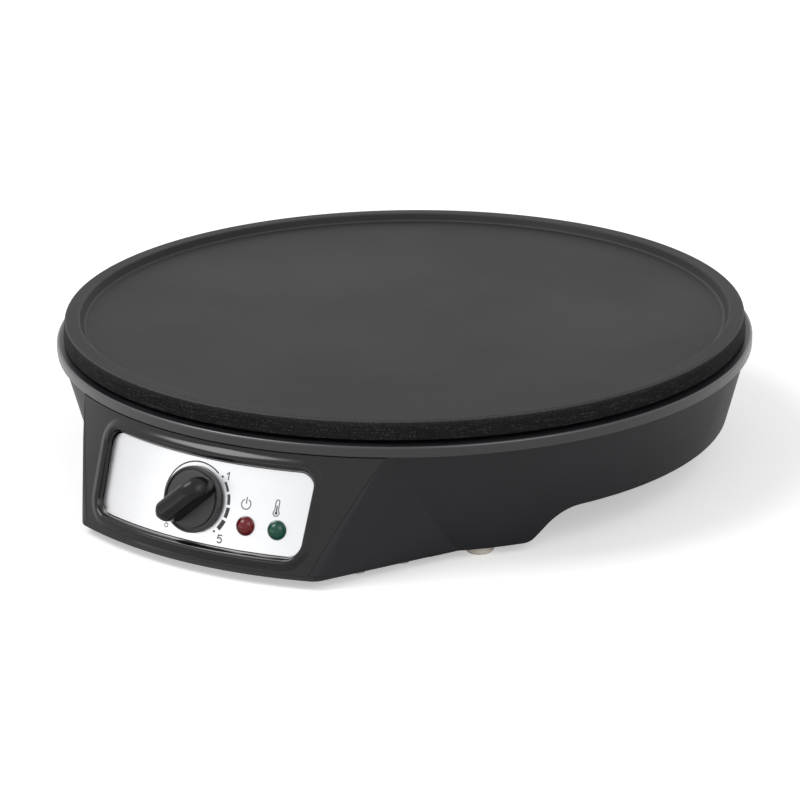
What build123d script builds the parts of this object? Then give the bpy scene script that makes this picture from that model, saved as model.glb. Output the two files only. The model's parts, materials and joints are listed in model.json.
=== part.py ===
from build123d import *
from math import cos, degrees, hypot, radians, sin, sqrt, tan
import os

# Electric crepe maker: a cast griddle plate on a plastic base, with a control housing at the front.
# Millimetres, +Z up, front towards -Y. Everything is drawn about the plate's own axis, then moved
# along Y so that the origin lies under the middle of the whole object.

os.makedirs("parts", exist_ok=True)

# ---- heights of the base, from the table -------------------------------------------------------
FOOT_H = 4.0            # rubber foot below the legs and the control box
BOWL_FLOOR_Z = 18.0     # underside of the bowl between the legs
RIM_Z = 50.0            # underside of the rim band
RIM_BAND_H = 4.6        # height of the rim band
RIM_LEDGE_T = 2.4       # thickness of the rim's turned-in ledge

# ---- base housing ------------------------------------------------------------------------------
RIM_R = 154.0           # outside of the rim band
RIM_INNER_R = 146.0     # opening of the ledge
RIM_EDGE_R = 1.0        # rounding of the rim's outer edges
BOWL_R = 152.0          # bowl wall just under the rim
BOWL_DRAFT = 13.8       # degrees, taper of the bowl wall
WALL = 2.5              # wall of the base housing
LEG_IN_R = 108.0        # inner side of the legs and of the space behind the control box
LEG_RAMP = 48.0         # degrees, slope of each leg's end
LEG_TOE_R = 6.0         # rounding where a leg's end leaves the ground line
LEG_HIP_R = 20.0        # rounding where a leg's end meets the bowl's bottom edge
FRONT_LEG_END = 55.0    # degrees from the front to the middle of the front leg's ramp
REAR_LEG_MID = 140.0    # degrees from the front to the middle of a rear leg
REAR_LEG_HALF = 10.5    # degrees from a rear leg's middle to the middle of its ramps
VENT_COUNT = 16
VENT_L = 24.0
VENT_W = 3.2
VENT_R = 55.0           # radius of the middle of each vent slot

# ---- control housing ---------------------------------------------------------------------------
FRONT_LEAN = 21.05      # degrees, lean of the front face
FRONT_HALF_W = 58.2     # half width of the front face at its foot, before the corners are rounded
FLANK_FLARE = 31.0      # degrees, how much each flank opens towards the bowl
CORNER_R = 12.0         # plan rounding of the front corners at the foot
CORNER_TOP_Z = 34.0     # height at which that rounding has run out to a crease
FASCIA_T = 2.8
SEAM = 0.15             # gap between mouldings that meet
SHEET_FIT = 0.05        # gap between a sheet and its seat
COVER_EDGE_H = 1.6      # visible edge of the bottom cover
COVER_BACK = 118.6      # distance of the cover's rear edge from the plate's axis
COVER_STEP = 0.25       # how far the cover's edge stands back from the housing
COVER_RIB_H = 1.8       # locating rib on the cover
COVER_RIB_T = 1.5
COVER_VENTS = 4
COVER_VENT_L = 26.0
COVER_VENT_PITCH = 8.0
COVER_POSTS = [(64.5, -141.0, 24.0), (74.5, -124.0, 30.0)]    # x, y, top of the cover's screw posts
COVER_POST_R = 4.0
EAR_Y = -142.0          # front of the ears that hold the fascia
EAR_T = 3.0
EAR_X = (53.0, 68.0)
EAR_Z = (25.5, 34.5)
EAR_SCREW_X = 58.0
EAR_BOSS_R = 3.8

# ---- control panel, in distances along and square to the front face ------------------------------
KNOB_Z = 27.5           # height of the knob's axis on the front face
PANEL_UP = 17.1         # panel's top edge above the knob's axis, along the slope
PANEL_DOWN = 16.6       # panel's bottom edge below it
PANEL_TOP_ANGLE = 18.9      # degrees, half the panel's spread at its top edge
PANEL_BOTTOM_ANGLE = 17.2   # and at its bottom edge
PANEL_CORNER_R = 6.0
PANEL_DEPTH = 2.3       # panel's face below the fascia's face
PANEL_T = 0.8
PANEL_EDGE_GAP = 0.25
RECESS_DRAFT = 45.0     # degrees, slope of the frame round the panel
RECESS_ROUND = 1.8      # rounding of the frame's outer edge
SEAT_WALL = 2.4         # fascia wall behind the panel

# ---- knob and thermostat -------------------------------------------------------------------------
KNOB_R = 13.2
KNOB_DISC_H = 3.6
KNOB_LIFT = 0.6         # gap between panel and knob
KNOB_H = 15.5           # top of the grip above the panel
GRIP_W = 10.4
GRIP_REACH = 13.6       # grip's half length
KNOB_OFF_ANGLE = 228.0  # degrees, pointer at rest, counter-clockwise from the right
SHAFT_R = 3.0
SHAFT_FLAT = 2.0        # distance of the shaft's flat from its axis
SHAFT_IN = 18.0         # shaft's end inside the thermostat, below the panel's face
SHAFT_OUT = 11.0        # shaft's end inside the knob, above the panel's face
RUN_FIT = 0.05          # radial running clearance of the shaft
PANEL_BORE_R = 4.2
BUSH_R = 4.5
BUSH_PROUD = 3.4        # bush in front of the bracket
HUB_R = 4.8
KNOB_RING_R = 11.8      # outer edge of the ring groove
KNOB_RING_W = 0.9
KNOB_RING_DEPTH = 0.9
GRIP_TAIL_R = 8.0       # rounding of the grip's blunt end
GRIP_NOSE_R = 4.0       # rounding of its pointer end
GRIP_EDGE_R = 3.8
GRIP_TAPER = 0.9
BRACKET_DEPTH = 8.0     # front of the bracket below the panel's face
BRACKET_T = 1.2
BRACKET_RISE = 2.5      # bracket's screw line above the knob's axis
BRACKET_SCREW_U = 17.5
BRACKET_BOSS_R = 3.2
THERMO_W = 27.0
THERMO_H = 22.0
THERMO_D = 14.6
NUT_AF = 12.0
NUT_T = 2.2

# ---- lamps ---------------------------------------------------------------------------------------
LAMP_Z = 21.4           # height of the lamps on the front face
LAMP_ANGLES = {"power": 8.75, "heat": 13.5}     # degrees to the right of the knob
LENS_R = 4.0
LENS_DOME = 3.2
LENS_BARREL_R = 3.3
LENS_BARREL_L = 8.0
LENS_WALL = 0.9
LAMP_HOLE_R = 3.5
NEON_R = 2.1
NEON_L = 15.0
CLIP_R = 5.6
CLIP_T = 0.6

# ---- griddle plate -------------------------------------------------------------------------------
PLATE_R = 150.0         # at the top of the lip
PLATE_FLARE = 1.0       # how much the side opens downwards
PLATE_SIDE = 8.0        # height of the plate's side
PLATE_GAP = 1.4         # shadow gap between plate and rim
LIP_W = 6.3             # flat top of the lip
LIP_SLOPE = 2.4         # run of the lip's inner slope
LIP_DEPTH = 3.6         # cooking surface below the lip
PLATE_EDGE_R = 1.2
PLATE_WEB = 4.4         # metal under the cooking surface
SKIRT_R = 144.2         # locating skirt under the plate
SKIRT_T = 3.0
SKIRT_H = 5.0

# ---- heating -------------------------------------------------------------------------------------
ELEMENT_R = 82.0        # centre line of the element
ELEMENT_TUBE_R = 3.3
ELEMENT_GAP = 14.0      # degrees from the front to each end of the ring
ELEMENT_BEND_R = 9.0
ELEMENT_RIB_W = 2.2     # wall of the cast channel each side of the element
ELEMENT_CLEAR = 0.05
ELEMENT_DROP = 4.0      # element's centre below the plate's underside
COLD_END_Z = 36.0       # lower end of the element's straight legs
INSULATOR_R = 4.2
INSULATOR_H = 5.0
TAB_W = 6.3
TAB_L = 9.0
TAB_T = 0.8
SHIELD_T = 0.8
SHIELD_R = 118.0
SHIELD_LIP = 4.0
SHIELD_SLOT_X = 34.0    # half width of the notch for the element's ends
SHIELD_SLOT_IN = 50.0   # distance of the notch's end from the plate's axis
SHIELD_Z = 42.0         # top of the posts that carry the shield

# ---- posts and screws ----------------------------------------------------------------------------
POST_PITCH_R = 98.0
POST_ANGLES = (45.0, 135.0, 225.0, 315.0)
POST_R = 5.6
POST_COUNTERBORE = 6.0  # depth of the screw head's recess
SCREW_R = 1.9
SCREW_HOLE = 0.4        # radial clearance of a screw in a plain hole
THREAD_FIT = 0.1        # radial clearance drawn in a threaded hole
HEAD_R = 3.7
HEAD_H = 2.6
BOSS_H = 8.0            # plate's screw bosses
BOSS_R = 6.0
SMALL_SCREW_R = 1.4
SMALL_HEAD_R = 2.6
SMALL_HEAD_H = 1.8
SMALL_SCREW_BITE = 5.0  # thread of a small screw in plastic
SCREW_BITE = 1.0        # how far the plate's screws reach past its underside
SMALL_BLIND = 2.8       # depth of the plate's small threaded holes

# ---- cord outlet, terminals, feet ----------------------------------------------------------------
OUTLET_Z = 33.0
OUTLET_BORE_R = 3.6
OUTLET_NECK_R = 5.8
OUTLET_FLANGE_R = 8.4
OUTLET_FLANGE_T = 2.0
BLOCK_L = 16.0
BLOCK_W = 34.0
BLOCK_H = 13.0
BLOCK_Y = 96.0
BLOCK_PITCH = 10.4
BLOCK_SLEEVE_R = 2.6
BLOCK_WAY_R = 1.7
FOOT_R = 6.0
FOOT_BEVEL = 0.8
FOOT_PITCH_R = 132.5
FRONT_FOOT = 44.5       # degrees from the front
FOOT_STEM_R = 2.4
FOOT_BARB_R = 3.1
FUSE_R = 2.2
FUSE_L = 12.0
FUSE_Y = 40.0
BULB_R = 3.0
BULB_L = 50.0
BULB_Y = -56.0
CAPILLARY_R = 0.8
WIRE_R = 1.1
PIN_R = 1.2
FUSE_LEAD = 8.0
FUSE_SCREW = (0.0, 46.0)
BULB_SCREW = (0.0, -49.0)
EARTH_SCREW = (20.0, 40.0)
BLOCK_SCREW_R = 1.5
BLOCK_PAD_H = 4.0       # raised pad under the terminal block
FEET = {
    "foot_front_right": FRONT_FOOT,
    "foot_front_left": -FRONT_FOOT,
    "foot_rear_right": REAR_LEG_MID,
    "foot_rear_left": -REAR_LEG_MID,
}

# ---- sizes worked out from those above -----------------------------------------------------------
RIM_TOP_Z = RIM_Z + RIM_BAND_H
PLATE_LOW_Z = RIM_TOP_Z + PLATE_GAP
PLATE_TOP_Z = PLATE_LOW_Z + PLATE_SIDE
COOK_Z = PLATE_TOP_Z - LIP_DEPTH
PLATE_UNDER_Z = COOK_Z - PLATE_WEB
FLOOR_TOP_Z = BOWL_FLOOR_Z + WALL
CAVITY_TOP_Z = RIM_TOP_Z - RIM_LEDGE_T
COVER_TOP_Z = FOOT_H + COVER_EDGE_H
ELEMENT_Z = PLATE_UNDER_Z - ELEMENT_DROP
SHIELD_TOP_Z = SHIELD_Z + SHIELD_T
BOSS_Z = PLATE_UNDER_Z - BOSS_H
BLOCK_Z = FLOOR_TOP_Z + BLOCK_PAD_H
BLOCK_WAY_Z = BLOCK_Z + BLOCK_SLEEVE_R + 1.6
SEAT_DEPTH = PANEL_DEPTH + PANEL_T + SHEET_FIT
SEAT_BACK = SEAT_DEPTH + SEAT_WALL - PANEL_DEPTH    # back of the fascia's wall, below the panel's face


STAND = (Align.CENTER, Align.CENTER, Align.MIN)


# ================================ geometry helpers ================================================
def bowl_r(z):
    """Outside radius of the bowl wall at height z."""
    return BOWL_R - (RIM_Z - z) * tan(radians(BOWL_DRAFT))


def front_r(z):
    """Radius of the control housing's front face, a cone about the plate's axis."""
    return RIM_R + (RIM_Z - z) * tan(radians(FRONT_LEAN))


def flank_x(y, inset=0.0):
    """Half width of the control housing at y, with its flanks moved in by inset."""
    foot_y = -sqrt(front_r(FOOT_H) ** 2 - FRONT_HALF_W**2)
    flare = radians(FLANK_FLARE)
    return FRONT_HALF_W + (y - foot_y) * tan(flare) - inset / cos(flare)


def at(r, angle, z=0.0):
    """Point at radius r, angle degrees from the front towards +X."""
    return Vector(r * sin(radians(angle)), -r * cos(radians(angle)), z)


def turned(*points):
    """Full turn about Z of a closed outline in (radius, height)."""
    return revolve(Plane.XZ * make_face(Polyline(*points, close=True)), Axis.Z)


def sector(points, low, high):
    """Part of a turn about Z, from low to high degrees from the front."""
    face = Plane.XZ * make_face(Polyline(*points, close=True))
    return Rot(0, 0, low - 90) * revolve(face, Axis.Z, high - low)


def rod(r, z_low, z_high, x=0.0, y=0.0):
    """Upright cylinder."""
    return Pos(x, y, z_low) * Cylinder(r, z_high - z_low, align=STAND)


def pin(plane, r, low, high, u=0.0, v=0.0):
    """Cylinder square to a plane, between two heights over it."""
    return plane * Pos(u, v, low) * Cylinder(r, high - low, align=STAND)


def slab(plane, sketch, low, high):
    """Flat piece parallel to a plane, between two heights over it."""
    return extrude(plane * Pos(0, 0, low) * sketch, high - low)


def tube(points, r):
    """Round tube along straight runs, with each corner rounded as widely as its runs allow."""
    points = [Vector(p) for p in points]
    radii = []
    for before, here, after in zip(points, points[1:], points[2:]):
        run_in, run_out = here - before, after - here
        half_turn = radians(run_in.get_angle(run_out)) / 2
        radii.append(0.45 * min(run_in.length, run_out.length) / tan(half_turn))
    path = FilletPolyline(*points, radius=radii)
    return sweep(Plane(origin=path @ 0, z_dir=path % 0) * Circle(r), path)


def block(x, y, z):
    """Box between pairs of limits."""
    mid = [(pair[0] + pair[1]) / 2 for pair in (x, y, z)]
    return Pos(*mid) * Box(x[1] - x[0], y[1] - y[0], z[1] - z[0])


def prism(points, z_low, z_high):
    """Upright prism over a closed plan outline."""
    return extrude(Plane.XY.offset(z_low) * make_face(Polyline(*points, close=True)), z_high - z_low)


def mirrored(points):
    """Plan outline of the right half, given from back to front, completed with its left half."""
    return list(points) + [(-x, y) for x, y in reversed(points)]


def front_plane(angle, z, depth):
    """Plane on the front face, depth below it: x to the right, y up the slope, z outwards."""
    lean = radians(FRONT_LEAN)
    out = at(cos(lean), angle, sin(lean))
    side = Vector(cos(radians(angle)), sin(radians(angle)), 0)
    return Plane(origin=at(front_r(z), angle, z) - out * depth, x_dir=side, z_dir=out)


def slope_point(up, depth):
    """(radius, height) of the point up the slope from the knob's axis, depth below the front face."""
    lean = radians(FRONT_LEAN)
    r = front_r(KNOB_Z) - depth * cos(lean) - up * sin(lean)
    return (r, KNOB_Z - depth * sin(lean) + up * cos(lean))


DIAL = front_plane(0.0, KNOB_Z, PANEL_DEPTH)


# ================================ base housing ====================================================
def leg_end(inset, angle, hand):
    """What is cut away past the S-shaped end of a leg, towards hand * angle."""
    slope = radians(LEG_RAMP)
    middle = (FOOT_H + BOWL_FLOOR_Z) / 2
    low, high = FOOT_H + inset, BOWL_FLOOR_Z + inset
    toe = (low - middle) / tan(slope) - inset / sin(slope)
    hip = (high - middle) / tan(slope) - inset / sin(slope)
    near, far = toe - LEG_HIP_R, hip + 2 * LEG_HIP_R
    radii = [LEG_TOE_R - inset, LEG_HIP_R + inset]
    curve = FilletPolyline((near, low), (toe, low), (hip, high), (far, high), radius=radii)
    close = Polyline((far, high), (far, 0), (near, 0), (near, low))
    along = Vector(cos(radians(angle)), sin(radians(angle)), 0) * hand
    plane = Plane(origin=at(LEG_IN_R / 2, angle), x_dir=along, z_dir=at(hand, angle))
    return extrude(plane * make_face(curve + close), amount=LEG_IN_R * hand)


def leg_gap(inset, low, high):
    """Space between two legs whose facing ramps are at the angles low and high."""
    shift = degrees(LEG_HIP_R / LEG_IN_R)
    inner, outer = LEG_IN_R / 2, 2 * LEG_IN_R
    top = BOWL_FLOOR_Z + inset
    middle = sector([(inner, 0), (outer, 0), (outer, top), (inner, top)], low + shift, high - shift)
    return middle + leg_end(inset, low, 1) + leg_end(inset, high, -1)


def bowl_space(inset, top):
    """Outer form of the bowl with its legs, or its hollow when inset by the wall."""
    step = inset / cos(radians(BOWL_DRAFT))
    low, floor = FOOT_H + inset, BOWL_FLOOR_Z + inset
    body = turned(
        (0, floor),
        (LEG_IN_R + inset, floor),
        (LEG_IN_R + inset, low),
        (bowl_r(low) - step, low),
        (bowl_r(top) - step, top),
        (0, top),
    )
    rear_low, rear_high = REAR_LEG_MID - REAR_LEG_HALF, REAR_LEG_MID + REAR_LEG_HALF
    body -= leg_gap(inset, FRONT_LEG_END, rear_low)
    body -= leg_gap(inset, rear_high, 360 - rear_high)
    return body - leg_gap(inset, 360 - rear_low, 360 - FRONT_LEG_END)


def corner_section(z):
    """Points of one front corner's rounding at height z: on the front face, halfway, on the flank."""
    radius = max(CORNER_R * (CORNER_TOP_Z - z) / (CORNER_TOP_Z - FOOT_H), 0.2)
    flare = radians(FLANK_FLARE)
    flank = Vector(sin(flare), cos(flare), 0)
    outward = Vector(cos(flare), -sin(flare), 0)
    foot = Vector(FRONT_HALF_W, -sqrt(front_r(FOOT_H) ** 2 - FRONT_HALF_W**2), 0)
    start = foot - outward * radius
    back = start.dot(flank)
    reach = front_r(z) - radius
    centre = start - flank * (back + sqrt(back**2 - start.dot(start) + reach**2))
    on_front = centre * (front_r(z) / centre.length)
    on_flank = centre + outward * radius
    middle = centre + ((on_front - centre) + (on_flank - centre)).normalized() * radius
    return on_front, middle, on_flank, outward


def corner_cutter():
    """What is cut away outside the right front corner: a rounding that runs out upwards."""
    levels = 5
    proud = 4.0
    sections = []
    for i in range(levels):
        z = FOOT_H - 1.0 + (CORNER_TOP_Z - FOOT_H + 1.0) * i / (levels - 1)
        on_front, middle, on_flank, outward = corner_section(z)
        lift = Vector(0, 0, z)
        radial = on_front.normalized()
        tip = middle + (radial + outward).normalized() * 2 * proud
        arc = ThreePointArc(on_flank + lift, middle + lift, on_front + lift)
        rest = Polyline(
            on_front + lift,
            on_front + radial * proud + lift,
            tip + lift,
            on_flank + outward * proud + lift,
            on_flank + lift,
        )
        sections.append(make_face(arc + rest))
    return loft(sections, ruled=True)


def box_space(inset, z_low, z_high, round_corners=False):
    """Form of the control housing between two heights, or its hollow when inset."""
    step = inset / cos(radians(FRONT_LEAN))
    cone = turned((0, z_low), (front_r(z_low) - step, z_low), (front_r(z_high) - step, z_high), (0, z_high))
    back, front = -LEG_IN_R - inset, -front_r(0) * 1.1
    outline = mirrored([(flank_x(back, inset), back), (flank_x(front, inset), front)])
    body = cone & prism(outline, z_low, z_high)
    if round_corners:
        cutter = corner_cutter()
        body = body - cutter - mirror(cutter, Plane.YZ)
    return body


def crease_wedge(gap, z_low, z_high):
    """Region between the two creases where the fascia ends."""
    foot = corner_section(FOOT_H)[0]
    top_y = brow_y()
    slope = (flank_x(top_y) - foot.X) / (top_y - foot.Y)

    def crease_x(y):
        return foot.X + (y - foot.Y) * slope + gap

    front, back = -RIM_R * 1.3, -LEG_IN_R
    return prism(mirrored([(crease_x(back), back), (crease_x(front), front)]), z_low, z_high)


def brow_y():
    """y at which the flank meets the front face under the rim."""
    flare = tan(radians(FLANK_FLARE))
    x0 = flank_x(0.0)
    a, b, c = 1 + flare**2, 2 * x0 * flare, x0**2 - front_r(RIM_Z) ** 2
    return (-b - sqrt(b**2 - 4 * a * c)) / (2 * a)


def rear_plane(depth=0.0):
    """Plane on the rear wall at the cord outlet, z outwards, depth below the outside."""
    draft = radians(BOWL_DRAFT)
    out = Vector(0, cos(draft), -sin(draft))
    origin = Vector(0, bowl_r(OUTLET_Z), OUTLET_Z) - out * depth
    return Plane(origin=origin, x_dir=(-1, 0, 0), z_dir=out)


def make_base_housing():
    """Bowl, rim, legs and the control housing's flanks in one moulding."""
    rim = FilletPolyline(
        (0, RIM_Z), (RIM_R, RIM_Z), (RIM_R, RIM_TOP_Z), (0, RIM_TOP_Z),
        radius=[RIM_EDGE_R / 2, RIM_EDGE_R],
    )
    rim_edge = Polyline((0, RIM_TOP_Z), (0, RIM_Z))
    outer = bowl_space(0, RIM_Z) + revolve(Plane.XZ * make_face(rim + rim_edge), Axis.Z)
    outer += box_space(0, FOOT_H, RIM_Z, round_corners=True)

    hollow = bowl_space(WALL, CAVITY_TOP_Z)
    hollow += box_space(WALL, FOOT_H + WALL, CAVITY_TOP_Z)
    hollow += rod(RIM_INNER_R, CAVITY_TOP_Z - 1, PLATE_TOP_Z)
    housing = outer - hollow

    # opening for the fascia, opening for the bottom cover
    front = box_space(-SEAM, COVER_TOP_Z + SEAM, RIM_Z) & crease_wedge(SEAM, COVER_TOP_Z, RIM_Z)
    behind = FASCIA_T + SEAM
    step = behind / cos(radians(FRONT_LEAN))
    core = turned(
        (0, 0), (front_r(0) - step, 0), (front_r(RIM_TOP_Z) - step, RIM_TOP_Z), (0, RIM_TOP_Z)
    )
    housing -= front - core
    wide = 2 * FRONT_HALF_W
    housing -= block((-wide, wide), (-2 * RIM_R, -COVER_BACK), (0, COVER_TOP_Z + SEAM))
    housing -= box_space(WALL, 0, FOOT_H + 2 * WALL) & block(
        (-wide, wide), (-2 * RIM_R, -COVER_BACK), (0, FOOT_H + 2 * WALL)
    )

    # posts that carry the plate, ears for the fascia, posts for the cover
    for angle in POST_ANGLES:
        spot = at(POST_PITCH_R, angle)
        housing += rod(POST_R, BOWL_FLOOR_Z, SHIELD_Z, spot.X, spot.Y)
    for side in (1, -1):
        ear_x = sorted((side * EAR_X[0], side * EAR_X[1]))
        housing += block(ear_x, (EAR_Y, EAR_Y + EAR_T), EAR_Z) & core
        ear_back = Plane.XZ.offset(-EAR_Y - EAR_T)
        hole_r = SMALL_SCREW_R + THREAD_FIT
        housing -= pin(ear_back, hole_r, -1, EAR_T + 1, side * EAR_SCREW_X, sum(EAR_Z) / 2)
        for x, y, top in COVER_POSTS:
            housing += rod(COVER_POST_R, COVER_TOP_Z + SEAM, top, side * x, y)
            housing -= rod(SMALL_SCREW_R + THREAD_FIT, 0, top - 2, side * x, y)
    for angle in POST_ANGLES:
        spot = at(POST_PITCH_R, angle)
        housing -= rod(SCREW_R + SCREW_HOLE, 0, RIM_TOP_Z, spot.X, spot.Y)
        housing -= rod(HEAD_R + SCREW_HOLE, 0, BOWL_FLOOR_Z + POST_COUNTERBORE, spot.X, spot.Y)

    # pad for the terminal block, vent slots in the floor, cord outlet, holes for the feet
    pad = Pos(0, BLOCK_Y, FLOOR_TOP_Z - 1) * extrude(Rectangle(BLOCK_W - 2, BLOCK_L), BLOCK_PAD_H + 1)
    housing += pad
    for x in (-BLOCK_PITCH / 2, BLOCK_PITCH / 2):
        housing -= rod(SMALL_SCREW_R + THREAD_FIT, BOWL_FLOOR_Z + 1, BLOCK_Z, x, BLOCK_Y)
    for i in range(VENT_COUNT):
        slot = extrude(SlotOverall(VENT_L, VENT_W), 3 * WALL)
        housing -= Rot(0, 0, 360 * i / VENT_COUNT) * Pos(VENT_R, 0, BOWL_FLOOR_Z - WALL) * slot
    housing -= rear_plane() * Cylinder(OUTLET_NECK_R + SEAM, 4 * WALL)
    for angle in FEET.values():
        spot = at(FOOT_PITCH_R, angle)
        housing -= rod(FOOT_STEM_R + THREAD_FIT, 0, FOOT_H + 2 * WALL, spot.X, spot.Y)
    return housing


# ================================ control housing =================================================
def panel_slab(depth_out, depth_in, shrink, draft, corner_r):
    """Round-cornered piece of a layer that follows the front face, over the panel's outline.

    Its walls start at depth_in, shrink inside the outline, and open outwards by draft degrees."""
    rise = (depth_in - depth_out) * tan(radians(draft))
    up, down = PANEL_UP - shrink, PANEL_DOWN - shrink
    outline = [
        slope_point(up, depth_in),
        slope_point(-down, depth_in),
        slope_point(-down - rise, depth_out),
        slope_point(up + rise, depth_out),
    ]
    spread = PANEL_TOP_ANGLE + 8
    slab = sector(outline, -spread, spread)
    r_top, z_top = slope_point(PANEL_UP, depth_in)
    r_low, z_low = slope_point(-PANEL_DOWN, depth_in)
    for side in (1, -1):
        low = at(r_low, side * PANEL_BOTTOM_ANGLE, z_low)
        high = at(r_top, side * PANEL_TOP_ANGLE, z_top)
        along = (high - low).normalized()
        middle = front_plane(side * (PANEL_TOP_ANGLE + PANEL_BOTTOM_ANGLE) / 2, KNOB_Z, 0)
        lean = middle.z_dir * cos(radians(draft)) + middle.x_dir * side * sin(radians(draft))
        outward = along.cross(lean).normalized()
        if outward.dot(middle.x_dir) * side < 0:
            outward = -outward
        cut = Plane(origin=low - outward * shrink, x_dir=along, z_dir=outward)
        slab -= cut * Box(4 * RIM_R, 4 * RIM_R, RIM_R, align=(Align.CENTER, Align.CENTER, Align.MIN))

    def depth(vertex):
        return (front_r(vertex.Z) - hypot(vertex.X, vertex.Y)) * cos(radians(FRONT_LEAN))

    corners = []
    for edge in slab.edges():
        ends = [depth(v) for v in edge.vertices()]
        if len(ends) == 2 and abs(ends[0] - ends[1]) > 0.9 * (depth_in - depth_out):
            corners.append(edge)
    return fillet(corners, corner_r)


def lamp_plane(name):
    return front_plane(LAMP_ANGLES[name], LAMP_Z, PANEL_DEPTH)


def make_control_fascia():
    """Glossy front moulding with the round-cornered frame that holds the panel."""
    z_low, z_high = COVER_TOP_Z + SEAM, RIM_Z - SEAM
    body = box_space(0, z_low, z_high, round_corners=True) & crease_wedge(0, z_low, z_high)
    step = FASCIA_T / cos(radians(FRONT_LEAN))
    core = turned(
        (0, 0), (front_r(0) - step, 0), (front_r(RIM_TOP_Z) - step, RIM_TOP_Z), (0, RIM_TOP_Z)
    )
    body -= core
    margin = -2.5
    body += panel_slab(FASCIA_T / 2, SEAT_DEPTH + SEAT_WALL, margin, 0, PANEL_CORNER_R)
    recess = panel_slab(-2.0, SEAT_DEPTH, 0, RECESS_DRAFT, PANEL_CORNER_R)
    body -= recess
    # bosses for the thermostat's bracket and for the screws in the housing's ears
    z_ear = sum(EAR_Z) / 2
    skin_y = -sqrt(front_r(z_ear) ** 2 - EAR_SCREW_X**2) + FASCIA_T / 2
    ear_face = Plane.XZ.offset(-EAR_Y)
    for side in (1, -1):
        u, v = side * BRACKET_SCREW_U, BRACKET_RISE
        body += pin(DIAL, BRACKET_BOSS_R, -BRACKET_DEPTH, -SEAT_BACK + 0.3, u, v)
        body += pin(ear_face, EAR_BOSS_R, 0, EAR_Y - skin_y, side * EAR_SCREW_X, z_ear)
        body -= pin(DIAL, SMALL_SCREW_R + THREAD_FIT, -BRACKET_DEPTH, -SEAT_BACK, u, v)
        body -= pin(ear_face, SMALL_SCREW_R + THREAD_FIT, 0, SMALL_SCREW_BITE, side * EAR_SCREW_X, z_ear)
    body -= pin(DIAL, PANEL_BORE_R, -BRACKET_DEPTH, BRACKET_DEPTH)
    for name in LAMP_ANGLES:
        body -= pin(lamp_plane(name), LAMP_HOLE_R, -BRACKET_DEPTH, BRACKET_DEPTH)
    return body


def make_control_panel():
    """Bright sheet, bent round the front face."""
    sheet = panel_slab(PANEL_DEPTH, PANEL_DEPTH + PANEL_T, PANEL_EDGE_GAP, 0, PANEL_CORNER_R)
    sheet -= pin(DIAL, PANEL_BORE_R, -BRACKET_DEPTH, BRACKET_DEPTH)
    for name in LAMP_ANGLES:
        sheet -= pin(lamp_plane(name), LAMP_HOLE_R, -BRACKET_DEPTH, BRACKET_DEPTH)
    return sheet


def make_control_box_cover():
    """Bottom cover of the control housing, with its locating rib and vent slots."""
    behind = -COVER_BACK - SEAM
    wide = 2 * FRONT_HALF_W
    edge = block((-wide, wide), (-2 * RIM_R, behind), (FOOT_H, RIM_Z))
    cover = box_space(COVER_STEP, FOOT_H, COVER_TOP_Z, round_corners=True) & edge
    rib_out = FASCIA_T + 2 * SEAM
    rib_top = COVER_TOP_Z + COVER_RIB_H
    rib = box_space(rib_out, COVER_TOP_Z, rib_top) - box_space(rib_out + COVER_RIB_T, COVER_TOP_Z, rib_top)
    rib &= block((-wide, wide), (-2 * RIM_R, behind - COVER_RIB_T), (COVER_TOP_Z, RIM_Z))
    for side in (1, -1):
        for x, y, _ in COVER_POSTS:
            rib -= rod(COVER_POST_R + 2 * SEAM, COVER_TOP_Z, RIM_Z, side * x, y)
            cover -= rod(SMALL_SCREW_R + SCREW_HOLE, 0, RIM_Z, side * x, y)
    cover += rib
    for i in range(COVER_VENTS):
        y = -COVER_BACK - COVER_VENT_PITCH * (i + 1.5)
        cover -= Pos(0, y, FOOT_H) * extrude(SlotOverall(COVER_VENT_L, VENT_W), COVER_EDGE_H)
    return cover


# ================================ knob and thermostat =============================================
def make_knob():
    """Disc with a ring groove and a bar grip, hollow underneath round its hub."""
    top = KNOB_LIFT + KNOB_DISC_H
    disc = rod(KNOB_R, KNOB_LIFT, top)
    disc = fillet(disc.edges().group_by(Axis.Z)[-1], 0.8)
    disc -= rod(KNOB_RING_R, top - KNOB_RING_DEPTH, top) - rod(KNOB_RING_R - KNOB_RING_W, 0, top)
    reach, half, low = GRIP_REACH, GRIP_W / 2, KNOB_LIFT + 1.0
    side = FilletPolyline(
        (-reach, low), (-reach, KNOB_H), (reach, KNOB_H), (reach, low), radius=[GRIP_TAIL_R, GRIP_NOSE_R]
    )
    side_face = make_face(side + Line((reach, low), (-reach, low)))
    end = FilletPolyline(
        (-half, low), (-half + GRIP_TAPER, KNOB_H), (half - GRIP_TAPER, KNOB_H), (half, low),
        radius=[GRIP_EDGE_R, GRIP_EDGE_R],
    )
    end_face = make_face(end + Line((half, low), (-half, low)))
    grip = extrude(Plane.XZ * side_face, GRIP_W, both=True)
    grip &= extrude(Plane.YZ * end_face, 2 * GRIP_REACH, both=True)
    grip &= rod(GRIP_REACH, 0, KNOB_H)
    mark = block((GRIP_REACH - 6.5, GRIP_REACH), (-0.6, 0.6), (KNOB_H - 0.35, KNOB_H + 1))
    knob = disc + grip - mark
    knob -= rod(KNOB_R - 1.8, 0, KNOB_LIFT + 2.0) - rod(HUB_R, 0, top)
    bore = rod(SHAFT_R + RUN_FIT, 0, SHAFT_OUT + 0.3)
    bore -= block((SHAFT_FLAT + RUN_FIT, KNOB_R), (-KNOB_R, KNOB_R), (0, KNOB_H))
    return DIAL * Rot(0, 0, KNOB_OFF_ANGLE) * (knob - bore)


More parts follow.
